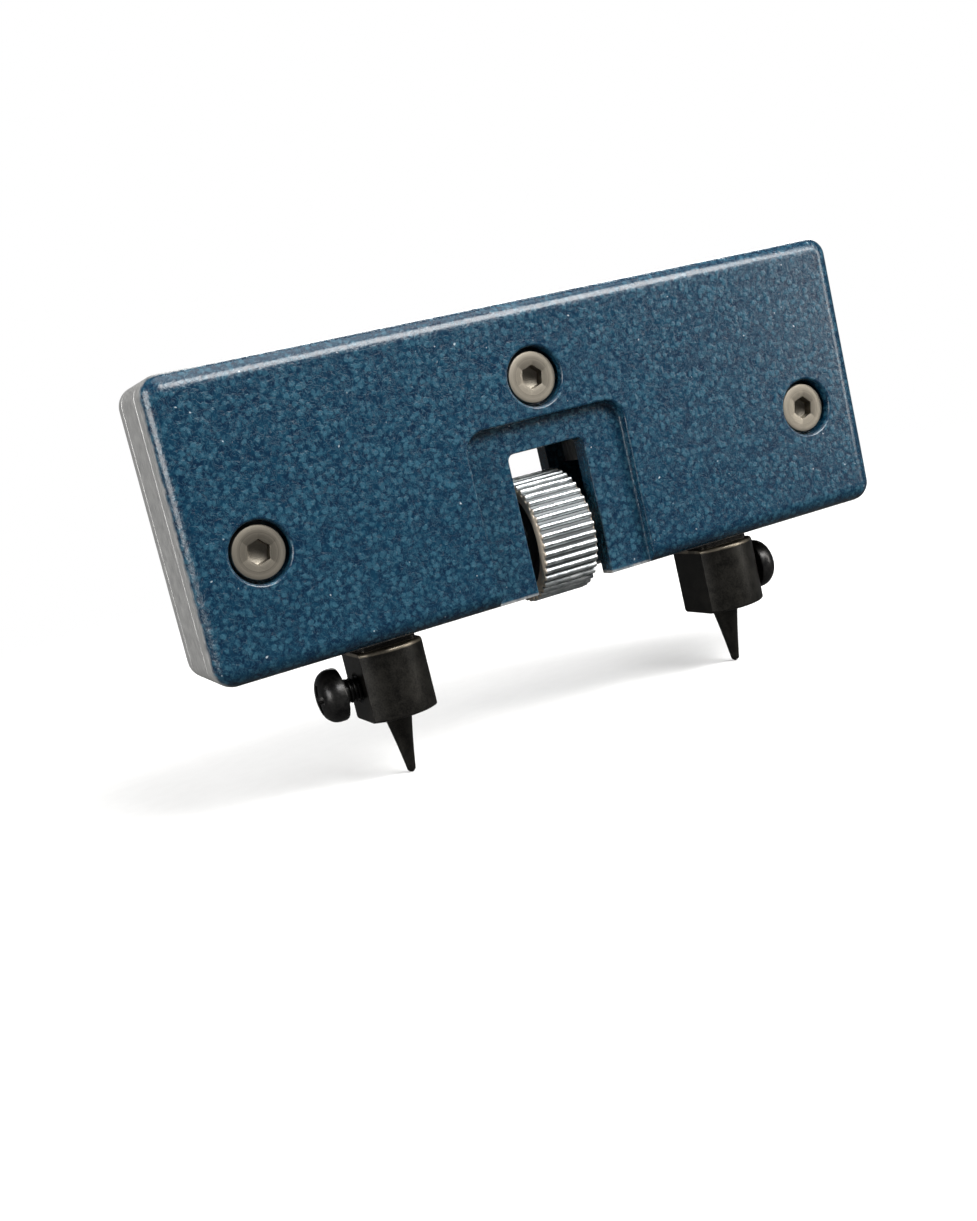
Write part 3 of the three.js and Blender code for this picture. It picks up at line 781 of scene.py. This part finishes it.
def make_finishes():
    """Every material of the tool, by its name."""
    hue = colours()
    grain = grain_group()
    FINISHES["paint"] = painted_metal(hue, grain, hammer_tone_group(), bare_edge_group())
    wheel = node_middle("thumb_wheel")
    high = node_box("thumb_wheel")[1]
    radius = high.z - wheel.z
    root = radius - RIDGE_SECTION_HEIGHT
    # The wheel's painted shade in its grooves and dish, and the colour of its rim
    shade = (wheel, root, radius - 0.12, high.x, root - sizes().wheel_rim, hue.painted_groove_shade, hue.wheel_rim)
    collar = BODY_LOW.z - sizes().collar_gap
    metals = [
        ("bare", "linished_metal", "bare", 0.42, {
            "streak": SIDE_STREAK, "fineness": SIDE_FINENESS, "metallic": 0.5, "bump": 0.012,
            "cloud": 0.12}),
        ("zinc", "zinc_plate", "zinc", 0.36, {
            "streak": (0.35, 1.0, 1.0), "fineness": 2.6, "bump": 0.035, "pits": 0.2, "shade": shade}),
        # The collars' bright top edge is rubbed oxide with a painted highlight
        ("black", "black_oxide", "oxide", 0.34, {
            "fineness": 5.0, "pits": 0.3, "metallic": 0.6, "wear_and_highlight": (collar - 0.2, 0.3, hue.rubbed_edge_and_highlight)}),
        ("black_screw", "oiled_black_oxide", "screw", 0.32, {
            "fineness": 2.0, "pits": 0.15, "metallic": 0.8}),
        ("bright", "turned_steel", "steel", 0.28, {"streak": (3.0, 0.3, 0.3), "fineness": 4.0}),
        ("bronze", "bronze", "bronze", 0.4, {"pits": 0.3}),
    ]
    metals += [(name, "satin_" + name, "satin", 0.42, {
        "fineness": 9.0, "rings": (node_middle(name), "y"), "bump": 0.01}) for name in COVER_SCREW_NAMES]
    for key, name, tones, roughness, settings in metals:
        FINISHES[key] = worked_metal(name, grain, getattr(hue, tones + "_dark"),
                                     getattr(hue, tones + "_light"), roughness, **settings)


def quarter(steps):
    """(1 - cosine, 1 - sine) at even steps over a quarter turn."""
    angles = [math.radians(90 * i / steps) for i in range(steps + 1)]
    return [(1 - math.cos(angle), 1 - math.sin(angle)) for angle in angles]


def edge_lip(depth, radius):
    """Levels of (depth, offset) that round the rim of a cut at a depth."""
    return [(depth + radius * away, radius * out) for away, out in quarter(LIP_STEPS)[1:]]


def body_outline(offset):
    return rounded_outline(BODY_HIGH.x, BODY_LOW.z, BODY_HIGH.z, sizes().corner_radius, offset)


def cover_block(name, outer, inner):
    """A cover's slab: fillet round its outer face, and the hair-line chamfer of the seam."""
    inward = -math.copysign(1, outer)
    fillet = sizes().edge_fillet
    chamfer = sizes().seam_chamfer
    levels = [(outer, -fillet - FACE_SHRINK)]
    levels += [(outer + inward * fillet * away, -fillet * out) for away, out in quarter(FILLET_STEPS)]
    levels += [(inner - inward * chamfer, 0), (inner, -chamfer)]
    return lofted(name, body_outline, levels)


def opening_cutters(outer, inner):
    """The thumb recess and the wheel slot as solids to cut from a cover."""
    inward = -math.copysign(1, outer)
    own = sizes()
    depth, lip, fillet = own.recess_depth, own.recess_lip, own.floor_fillet
    slot_lip = lip * SLOT_LIP_SHARE
    base = BODY_LOW.z
    recess_levels = [(-CUT_OVERRUN, lip), (-0.01, lip)] + edge_lip(0.0, lip)
    recess_levels += [(depth - fillet * out, -fillet * away) for away, out in quarter(FLOOR_FILLET_STEPS)]
    slot_levels = [(-CUT_OVERRUN, slot_lip), (depth - 0.01, slot_lip)] + edge_lip(depth, slot_lip)
    slot_levels += [(abs(outer - inner) + CUT_OVERRUN, 0.0)]
    cutters = []
    for name, width, height, corner, corner_steps, levels in (
            ("recess_cut", own.recess_width, own.recess_height, own.recess_corner, 12, recess_levels),
            ("slot_cut", own.slot_width, own.slot_height, own.slot_corner, 6, slot_levels)):
        outline = partial(rounded_outline, width / 2, base - OPENING_OVERRUN, base + height, corner,
                          corner_steps=corner_steps)
        cutters.append(lofted(name, outline, [
            (outer + inward * along, offset) for along, offset in levels]))
    return cutters


def counterbore_cutters(outer):
    """The three counterbores, each with a soft lip that catches the light."""
    cutters = []
    lip = sizes().counterbore_lip
    radius = sizes().counterbore_radius
    start, end = outer - CUT_OVERRUN, outer + SCREW_HOLE_DEPTH
    for name in COVER_SCREW_NAMES:
        low, _, middle = measured(name)
        seat = low.y + sizes().screw_head_height + 0.1
        profile = [(0, start), (radius + lip, start), (radius + lip, outer - 0.01)]
        profile += [(radius + offset, outer + depth) for depth, offset in edge_lip(0.0, lip)]
        profile += [(radius, seat), (COVER_SCREW_HOLE, seat), (COVER_SCREW_HOLE, end), (0, end)]
        cutters.append(turned("bore_cut", profile, "y", (middle.x, 0, middle.z), 72))
    return cutters


def build_covers():
    """The front cover with its counterbores and the plain rear one, both with recess and slot."""
    for name, outer, inner in (("front_cover", BODY_LOW.y, node_box("front_cover")[1].y),
                               ("rear_cover", BODY_HIGH.y, node_box("rear_cover")[0].y)):
        made = cover_block(name + "_shell", outer, inner)
        bores = counterbore_cutters(outer) if name == "front_cover" else []
        combined(made, opening_cutters(outer, inner) + bores)
        place(smooth(made), "body", "blue_paint", FINISHES["paint"], name)


def build_frame():
    """The bare bar between the covers, with the channel for the jaws and the bay for the wheel."""
    low, high = node_box("centre_frame")
    chamfer = sizes().seam_chamfer
    made = lofted("centre_frame_bar", body_outline, [
        (low.y, -chamfer), (low.y + chamfer, 0), (high.y - chamfer, 0), (high.y, -chamfer)])
    own = sizes()
    base = BODY_LOW.z
    reach = high.y + 1
    cutters = []
    for width, height in ((own.channel_length, own.channel_height), (own.bay_width, own.bay_height)):
        outline = partial(rounded_outline, width / 2, base - BAY_OVERRUN, base + height, BAY_CORNER,
                          corner_steps=4)
        cutters.append(lofted("bay_cut", outline, [(-reach, 0), (reach, 0)]))
    bush = node_box("bearing_bush_right")[1].x + 0.2
    cutters.append(turned_about_x("journal_cut", both_ends([(BUSH_HOLE, bush)], bush), 48))
    combined(made, cutters)
    place(smooth(made), "body", "bare_metal", FINISHES["bare"], "centre_frame")


def build_wheel():
    """The thumb wheel: a dished core with a ring of rounded ridges."""
    high = node_box("thumb_wheel")[1]
    half = high.x
    radius = high.z - AXIS_Z
    own = sizes()
    root = radius - own.ridge_depth
    dish = root - own.wheel_rim
    hub = own.wheel_hub
    deep = half - own.wheel_dish
    side = [
        (WHEEL_BORE, deep), (WHEEL_BORE, half - 0.1), (2.75, half - 0.15), (hub - 0.25, half - 0.15),
        (hub, half - 0.4), (hub + 0.1, deep + 0.3), (hub + 0.4, deep), (dish - 0.4, deep),
        (dish - 0.1, deep + 0.3), (dish, half - 0.15), (dish + 0.12, half - 0.03), (root - 0.35, half),
        (root - 0.12, half - 0.08), (root, half - 0.3)]
    core = smooth(turned_about_x("thumb_wheel_ridged", both_ends(side, half - 0.6), WHEEL_STEPS), 28)
    section = [(-t, up) for t, up in reversed(RIDGE_HALF_SECTION)] + list(RIDGE_HALF_SECTION)
    grow = own.ridge_depth / RIDGE_SECTION_HEIGHT
    rings = [[(x * (half - 0.1), -t * shrink, up * grow + lift) for t, up in section]
             for x, lift, shrink in RIDGE_LEVELS]
    ridge = smooth(ring_solid("ridge", rings), 50)
    run_tree(core, ring_of_ridges_tree(), {
        "Ridge": ridge, "Count": int(own.ridge_count), "Radius": root * MM, "Axis height": AXIS_Z * MM,
        "Material": FINISHES["zinc"]})
    bpy.data.objects.remove(ridge)
    place(core, "drive_screw", "zinc_plate", FINISHES["zinc"], "thumb_wheel")


def build_lead_screw():
    """The lead screw: a bar with journals, threaded left-handed on the left, right-handed on the right."""
    low, high = node_box("lead_screw")
    own = sizes()
    radius = (high.z - low.z) / 2
    depth = own.thread_depth / 2
    shoulder = high.x - own.journal_length
    core = radius - 1.4 * depth
    collar = node_box("thumb_wheel")[1].x + 0.8
    side = [(JOURNAL - 0.3, high.x), (JOURNAL, high.x - 0.3), (JOURNAL, shoulder), (core, shoulder),
            (core, collar), (radius, collar - 0.2)]
    bar = smooth(turned_about_x("lead_screw_bar", both_ends(side, high.x), 64))
    tree = thread_tree()
    start = collar + 0.3
    length = shoulder - start - 0.4
    for hand in (1, -1):
        run_tree(bar, tree, {
            "Start": (start if hand > 0 else -start - length) * MM, "Length": length * MM,
            "Pitch": own.thread_pitch * MM, "Hand": float(hand), "Radius": radius * MM,
            "Depth": depth * MM, "Axis height": AXIS_Z * MM, "Steps a turn": 20,
            "Material": FINISHES["bright"]})
    place(bar, "drive_screw", "bright_steel", FINISHES["bright"], "lead_screw")


def build_bearings():
    """Flanged bushes and thrust washers at the two ends of the lead screw."""
    for name, side in LEFT_AND_RIGHT:
        for node, kind, finish in (("bearing_bush_", "bronze", "bronze"),
                                   ("thrust_washer_", "bright_steel", "bright")):
            low, high = node_box(node + name)
            near, far = sorted((abs(low.x), abs(high.x)))
            rim = (high.z - low.z) / 2
            if finish == "bronze":
                profile = [
                    (BUSH_BORE, near + 0.1), (BUSH_BORE + 0.1, near), (rim - 0.1, near), (rim, near + 0.1),
                    (rim, near + 0.7), (rim - 0.1, near + 0.8), (BUSH_SLEEVE, near + 0.8),
                    (BUSH_SLEEVE, far - 0.2), (BUSH_SLEEVE - 0.2, far), (BUSH_BORE, far)]
            else:
                profile = [(BUSH_BORE, near), (rim - 0.1, near), (rim, near + 0.1), (rim, far - 0.1),
                           (rim - 0.1, far), (BUSH_BORE, far)]
            profile = [(r, side * along) for r, along in profile]
            made = turned_about_x(node.split("_")[1] + "_" + name, profile, SLEEVE_STEPS, closed=True)
            place(smooth(made), "body", kind, FINISHES[finish], node + name)


def box_block(name, low, high, corner=0.3):
    """A block with round upright corners."""
    middle = (low[0] + high[0]) / 2

    def outline(offset):
        points = rounded_outline((high[0] - low[0]) / 2, low[1], high[1], corner, offset, 4)
        return [(x + middle, y) for x, y in points]

    rings = [[(x, y, z) for x, y in outline(offset)] for z, offset in (
        (low[2], -0.12), (low[2] + 0.12, 0), (high[2] - 0.12, 0), (high[2], -0.12))]
    return ring_solid(name, rings)


def build_jaws():
    """The jaws: a block on the screw, a neck and a collar with two flats, bored for tip and clamp screw."""
    own = sizes()
    base = BODY_LOW.z
    for name, side in LEFT_AND_RIGHT:
        low, high = node_box("jaw_" + name)
        middle = (low.x + high.x) / 2
        radius = high.y
        collar_top = base - own.collar_gap
        ease = own.collar_ease
        profile = [(0, low.z), (radius - ease, low.z)] + [
            (radius - ease + ease * math.sin(a), low.z + ease - ease * math.cos(a)) for a in (0.5, 1.0)
        ] + [(radius, low.z + ease), (radius, collar_top - ease),
             (radius - ease * 0.3, collar_top - ease * 0.3), (radius - ease, collar_top), (0, collar_top)]
        collar = turned("jaw_" + name + "_body", profile, "z", (middle, 0, 0), 112)
        flats = box_block("flats", (low.x, -radius - CUT_OVERRUN, low.z - 0.5),
                          (high.x, radius + CUT_OVERRUN, collar_top + 0.5), 0.1)
        combined(collar, [flats], "INTERSECT")
        eased(collar, 0.16, 3, 35)
        across, deep = NECK_HALF
        neck = box_block("neck", (middle - across, -deep, collar_top - 1),
                         (middle + across, deep, base + 1.5), 0.8)
        nut = box_block("nut", (low.x, -NUT_HALF_DEPTH, base + 0.6), (high.x, NUT_HALF_DEPTH, high.z))
        combined(collar, [neck, nut], "UNION")
        tip = node_middle("tip_" + name)
        clamp = node_middle("clamp_screw_" + name)
        top = base + 0.8
        bore = turned("bore", [
            (0, low.z - CUT_OVERRUN), (TIP_BORE_MOUTH, low.z - CUT_OVERRUN), (TIP_BORE_MOUTH, low.z),
            (TIP_BORE, low.z + 0.26), (TIP_BORE, top), (0, top)], "z", (tip.x, 0, 0), 64)
        start, end = low.x - CUT_OVERRUN, high.x + CUT_OVERRUN
        drive = turned_about_x("drive", [(0, start), (DRIVE_BORE, start), (DRIVE_BORE, end), (0, end)], 64)
        outer = side * (max(abs(low.x), abs(high.x)))
        hole = turned("hole", [
            (0, outer + side), (CLAMP_BORE_MOUTH, outer + side), (CLAMP_BORE_MOUTH, outer + 0.01 * side),
            (CLAMP_BORE, outer - 0.35 * side), (CLAMP_BORE, middle), (0, middle)], "x", (0, 0, clamp.z), 48)
        combined(collar, [bore, drive, hole])
        place(smooth(collar), name + "_jaw", "black_steel", FINISHES["black"], "jaw_" + name)


def build_tips():
    """The taper tips: a shank in the collar and a slim cone with a blunt round point."""
    for name, _ in LEFT_AND_RIGHT:
        low, high, middle = measured("tip_" + name)
        radius = (high.x - low.x) / 2
        point = sizes().tip_point_radius
        taper_top = node_box("jaw_" + name)[0].z - 0.3
        profile = [(0, low.z)] + arc((0, low.z + point), point, -75, -8, 8)
        for i in range(1, TAPER_STEPS + 1):
            t = i / TAPER_STEPS
            hollow = 0.06 * math.sin(math.pi * t)
            profile.append((point + (radius - point) * t - hollow,
                            low.z + point + (taper_top - low.z - point) * t))
        profile += [(radius, taper_top + 0.2), (radius, high.z - 0.25), (radius - 0.25, high.z),
                    (0, high.z)]
        made = turned("tip_" + name + "_taper", profile, "z", (middle.x, 0, 0), 64)
        place(smooth(made, 40), name + "_tip", "black_steel", FINISHES["black"], "tip_" + name)


def build_clamp_screws():
    """The clamp screws: domed heads with a tapered cross recess, and a fine thread."""
    own = sizes()
    tree = thread_tree()
    for name, side in LEFT_AND_RIGHT:
        low, high, middle = measured("clamp_screw_" + name)
        inner, outer = sorted((abs(low.x), abs(high.x)))
        radius = (high.z - low.z) / 2
        height = own.clamp_head_height
        seat = outer - height
        rim = own.clamp_head_rim
        profile = [
            (0, inner), (0.9, inner), (CLAMP_SHANK, inner + 0.3), (CLAMP_SHANK, seat - 0.05),
            (radius - 0.35, seat), (radius - 0.1, seat + 0.08), (radius, seat + 0.3),
            (radius, seat + rim * 0.75)]
        for i in range(DOME_STEPS):
            angle = math.pi / 2 * i / DOME_STEPS
            profile.append((radius * math.cos(angle) ** 0.62,
                            seat + rim * 0.75 + (height - rim * 0.75) * math.sin(angle)))
        profile.append((0, outer))
        profile = [(r, side * along) for r, along in profile]
        centre = (0, 0, middle.z)
        screw = turned("clamp_screw_" + name + "_domed", profile, "x", centre, 96)
        combined(screw, cross_cutters(side * outer, -side, middle.z))
        eased(screw, 0.07, 2, 35)
        smooth(screw)
        length = seat - inner - 0.4
        start = side * inner + (0.2 if side > 0 else -0.2 - length)
        run_tree(screw, tree, {
            "Start": start * MM, "Length": length * MM, "Pitch": own.clamp_pitch * MM, "Hand": 1.0,
            "Radius": CLAMP_THREAD * MM, "Depth": CLAMP_THREAD_DEPTH * MM, "Axis height": middle.z * MM,
            "Steps a turn": 24, "Material": FINISHES["black_screw"]})
        place(screw, name + "_clamp", "black_screw", FINISHES["black_screw"], "clamp_screw_" + name)


def cross_cutters(face, inward, z):
    """Two tapered blades that leave a cross recess in a head."""
    cutters = []
    for upright in (False, True):
        rings = []
        for depth, span, width in CROSS_LEVELS:
            x = face + inward * depth
            half, thin = span / 2, width / 2
            corners = [(-half, -thin), (half, -thin), (half, thin), (-half, thin)]
            rings.append([(x, v, z + u) if upright else (x, u, z + v) for u, v in corners])
        cutters.append(ring_solid("blade", rings))
    return cutters


def build_cover_screws():
    """The cover screws: low flat heads with a soft rim and a hexagon socket with a drilled floor."""
    own = sizes()
    for name in COVER_SCREW_NAMES:
        low, high, middle = measured(name)
        radius = (high.x - low.x) / 2
        face = low.y
        seat = face + own.screw_head_height
        soft = 0.16
        profile = [(0, face), (radius - soft - 0.3, face), (radius - soft, face + 0.015)]
        profile += [(radius - soft + soft * math.sin(math.radians(a)), face + 0.015 + soft * (1 - math.cos(
            math.radians(a)))) for a in (25, 50, 75, 90)]
        profile += [(radius, seat - 0.1), (radius - 0.1, seat), (COVER_SCREW_SHANK, seat),
                    (COVER_SCREW_SHANK, high.y - 0.3), (1.2, high.y), (0, high.y)]
        screw = turned(name + "_socket_head", profile, "y", (middle.x, 0, middle.z), 96)
        combined(screw, [hex_cutter(middle, face)])
        eased(screw, 0.09, 3, 35)
        place(smooth(screw, 25), "body", "satin_steel", FINISHES[name], name)


def hex_cutter(middle, face):
    """A hexagon socket's cutter with a conical drilled floor."""
    across = sizes().hex_across_flats / math.sqrt(3)
    turn = math.radians(sizes().hex_turn)
    rings = []
    for depth, radius in ((-1.0, across), (sizes().hex_depth, across)):
        rings.append([(middle.x + radius * math.sin(turn + math.pi * i / 3), face + depth,
                       middle.z + radius * math.cos(turn + math.pi * i / 3)) for i in range(6)])
    rings.append([(middle.x, face + sizes().hex_depth + 0.45, middle.z)])
    return ring_solid("socket", rings)


def build_dowels():
    for name, _ in LEFT_AND_RIGHT:
        low, high, middle = measured("dowel_pin_" + name)
        radius = (high.x - low.x) / 2
        ends = 0.3
        profile = [(0, low.y), (radius - ends, low.y), (radius, low.y + ends), (radius, high.y - ends),
                   (radius - ends, high.y), (0, high.y)]
        made = turned("dowel_" + name, profile, "y", (middle.x, 0, middle.z), 48)
        place(smooth(made), "body", "bright_steel", FINISHES["bright"], "dowel_pin_" + name)


# ---------------------------------------------------------------- stage

CAMERA_PLACE = (-72.43, -153.29, 41.06)
CAMERA_AIM = (-12.57, -8.0, 17.32)
CAMERA_ROLL = -13.34
LENS = 40.46

# name, place and aim in metres, width and height in metres, watts, colour
LAMPS = (
    ("overhead_softbox", (0.05, -0.05, 0.5), (0, 0, 0.04), 0.4, 0.34, 1.0, (1.0, 0.99, 0.97)),
    ("front_softbox", (0.2, -0.38, 0.38), (0, 0, 0.03), 0.4, 0.26, 5.6, (1.0, 0.995, 0.98)),
    ("low_softbox", (0.42, -0.34, 0.1), (0, 0, 0.02), 0.12, 0.25, 0.9, (1.0, 0.97, 0.92)),
    ("left_softbox", (-0.55, -0.12, 0.2), (0, 0, 0.03), 0.3, 0.4, 4.2, (1.0, 0.99, 0.97)),
    ("back_softbox", (0.3, 0.5, 0.3), (0, 0, 0.03), 0.4, 0.3, 3.0, (1.0, 1.0, 1.0)),
)


def aimed(made, place, aim, roll=0.0):
    """Put something at a place so that it looks at an aim, turned about that line by a roll in degrees."""
    line = Vector(aim) - Vector(place)
    turn = line.to_track_quat("-Z", "Y") @ Quaternion((0, 0, 1), math.radians(roll))
    made.location = place
    made.rotation_euler = turn.to_euler()


def make_camera():
    lens = bpy.data.cameras.new("camera")
    lens.lens = LENS
    lens.clip_start = 0.005
    made = bpy.data.objects.new("camera", lens)
    bpy.context.scene.collection.objects.link(made)
    aimed(made, [v * MM for v in CAMERA_PLACE], [v * MM for v in CAMERA_AIM], CAMERA_ROLL)
    bpy.context.scene.camera = made


def make_lamps():
    for name, place, aim, width, height, watts, colour in LAMPS:
        light = bpy.data.lights.new(name, "AREA")
        light.shape = "RECTANGLE"
        light.size, light.size_y = width, height
        light.energy, light.color = watts, colour
        made = bpy.data.objects.new(name, light)
        bpy.context.scene.collection.objects.link(made)
        aimed(made, place, aim)


def make_world():
    """A white surround for the camera and a dimmer one for light and reflections."""
    scene = bpy.context.scene
    scene.view_settings.view_transform = "Standard"
    world = bpy.data.worlds.new("studio")
    scene.world = world
    world.use_nodes = True
    tree = world.node_tree
    tree.nodes.clear()
    seen = add_node(tree, "ShaderNodeBackground", {"Color": (1, 1, 1, 1), "Strength": 1.0})
    lit = add_node(tree, "ShaderNodeBackground", {"Color": (0.93, 0.96, 1.0, 1), "Strength": 0.11})
    ray = add_node(tree, "ShaderNodeLightPath").outputs["Is Camera Ray"]
    both = add_node(tree, "ShaderNodeMixShader", {0: ray, 1: lit.outputs[0], 2: seen.outputs[0]})
    out = add_node(tree, "ShaderNodeOutputWorld")
    tree.links.new(both.outputs[0], out.inputs["Surface"])


def make_floor():
    """A pale round floor that fades into the surround."""
    steps = 96
    size = 700
    rim = [(size * math.cos(2 * math.pi * i / steps), size * math.sin(2 * math.pi * i / steps), -0.05)
           for i in range(steps)]
    floor = mesh_object("floor", rim, [tuple(range(steps))])
    made, shader, vector = start_material("plain_floor")
    tree = made.node_tree
    reach = vector_math("LENGTH", vector, output="Value")
    speck = noise(vector, 0.4)
    tone = colours().floor
    set_shader(shader, Base_Color=blended(fade(speck, 0.3, 0.7), shaded(tone, 0.985), tone),
               Roughness=0.85, Alpha=fade(reach, 110, 300, 1.0, 0.0))
    dim = add_node(tree, "ShaderNodeBsdfDiffuse", {"Color": (0.07, 0.07, 0.07, 1)})
    clear = add_node(tree, "ShaderNodeBsdfTransparent")
    ends = add_node(tree, "ShaderNodeMixShader", {
        0: fade(reach, 110, 300), 1: dim.outputs[0], 2: clear.outputs[0]})
    ray = add_node(tree, "ShaderNodeLightPath").outputs["Is Camera Ray"]
    both = add_node(tree, "ShaderNodeMixShader", {0: ray, 1: ends.outputs[0], 2: shader.outputs[0]})
    tree.links.new(both.outputs[0], tree.nodes["Material Output"].inputs["Surface"])
    floor.data.materials.append(made)


# ---------------------------------------------------------------- operators and panel

class OPENER_OT_stage(bpy.types.Operator):
    """Make the camera, the floor, the surround and the lights"""
    bl_idname = "opener.stage"
    bl_label = "Stage"

    def execute(self, context):
        make_camera()
        make_lamps()
        make_world()
        make_floor()
        return {"FINISHED"}


class OPENER_OT_finishes(bpy.types.Operator):
    """Make the paint and the metals the pieces wear"""
    bl_idname = "opener.finishes"
    bl_label = "Finishes"

    def execute(self, context):
        make_finishes()
        return {"FINISHED"}


class OPENER_OT_covers(bpy.types.Operator):
    """Build the painted front and rear covers"""
    bl_idname = "opener.covers"
    bl_label = "Covers"

    def execute(self, context):
        build_covers()
        return {"FINISHED"}


class OPENER_OT_frame(bpy.types.Operator):
    """Build the bare bar between the covers"""
    bl_idname = "opener.frame"
    bl_label = "Centre frame"

    def execute(self, context):
        build_frame()
        return {"FINISHED"}


class OPENER_OT_wheel(bpy.types.Operator):
    """Build the ridged thumb wheel"""
    bl_idname = "opener.wheel"
    bl_label = "Thumb wheel"

    def execute(self, context):
        build_wheel()
        return {"FINISHED"}


class OPENER_OT_lead_screw(bpy.types.Operator):
    """Build the lead screw with its left-hand and right-hand threads"""
    bl_idname = "opener.lead_screw"
    bl_label = "Lead screw"

    def execute(self, context):
        build_lead_screw()
        return {"FINISHED"}


class OPENER_OT_bearings(bpy.types.Operator):
    """Build the bushes and the thrust washers"""
    bl_idname = "opener.bearings"
    bl_label = "Bushes and washers"

    def execute(self, context):
        build_bearings()
        return {"FINISHED"}


class OPENER_OT_jaws(bpy.types.Operator):
    """Build the two jaws"""
    bl_idname = "opener.jaws"
    bl_label = "Jaws"

    def execute(self, context):
        build_jaws()
        return {"FINISHED"}


class OPENER_OT_tips(bpy.types.Operator):
    """Build the two taper tips"""
    bl_idname = "opener.tips"
    bl_label = "Tips"

    def execute(self, context):
        build_tips()
        return {"FINISHED"}


class OPENER_OT_clamp_screws(bpy.types.Operator):
    """Build the two clamp screws with their cross recesses"""
    bl_idname = "opener.clamp_screws"
    bl_label = "Clamp screws"

    def execute(self, context):
        build_clamp_screws()
        return {"FINISHED"}


class OPENER_OT_cover_screws(bpy.types.Operator):
    """Build the three cover screws with their hexagon sockets"""
    bl_idname = "opener.cover_screws"
    bl_label = "Cover screws"

    def execute(self, context):
        build_cover_screws()
        return {"FINISHED"}


class OPENER_OT_dowels(bpy.types.Operator):
    """Build the two dowel pins"""
    bl_idname = "opener.dowels"
    bl_label = "Dowel pins"

    def execute(self, context):
        build_dowels()
        return {"FINISHED"}


OPERATORS = (
    OPENER_OT_stage, OPENER_OT_finishes, OPENER_OT_covers, OPENER_OT_frame, OPENER_OT_wheel,
    OPENER_OT_lead_screw, OPENER_OT_bearings, OPENER_OT_jaws, OPENER_OT_tips, OPENER_OT_clamp_screws,
    OPENER_OT_cover_screws, OPENER_OT_dowels)


class OPENER_PT_panel(bpy.types.Panel):
    """The operators and the properties in the sidebar"""
    bl_idname = "OPENER_PT_panel"
    bl_label = "Case Back Opener"
    bl_space_type = "VIEW_3D"
    bl_region_type = "UI"
    bl_category = "Case Opener"

    def draw(self, context):
        for operator in OPERATORS:
            self.layout.operator(operator.bl_idname)
        for group in (context.scene.opener_sizes, context.scene.opener_colours):
            column = self.layout.column(align=True)
            for name in group.__annotations__:
                column.prop(group, name)


CLASSES = (OpenerSizes, OpenerColours, *OPERATORS, OPENER_PT_panel)


def register():
    for kind in CLASSES:
        bpy.utils.register_class(kind)
    bpy.types.Scene.opener_sizes = bpy.props.PointerProperty(type=OpenerSizes)
    bpy.types.Scene.opener_colours = bpy.props.PointerProperty(type=OpenerColours)


def unregister():
    del bpy.types.Scene.opener_colours
    del bpy.types.Scene.opener_sizes
    for kind in reversed(CLASSES):
        bpy.utils.unregister_class(kind)


def main():
    register()
    for operator in OPERATORS:
        group, name = operator.bl_idname.split(".")
        getattr(getattr(bpy.ops, group), name)()


if __name__ == "__main__":
    main()
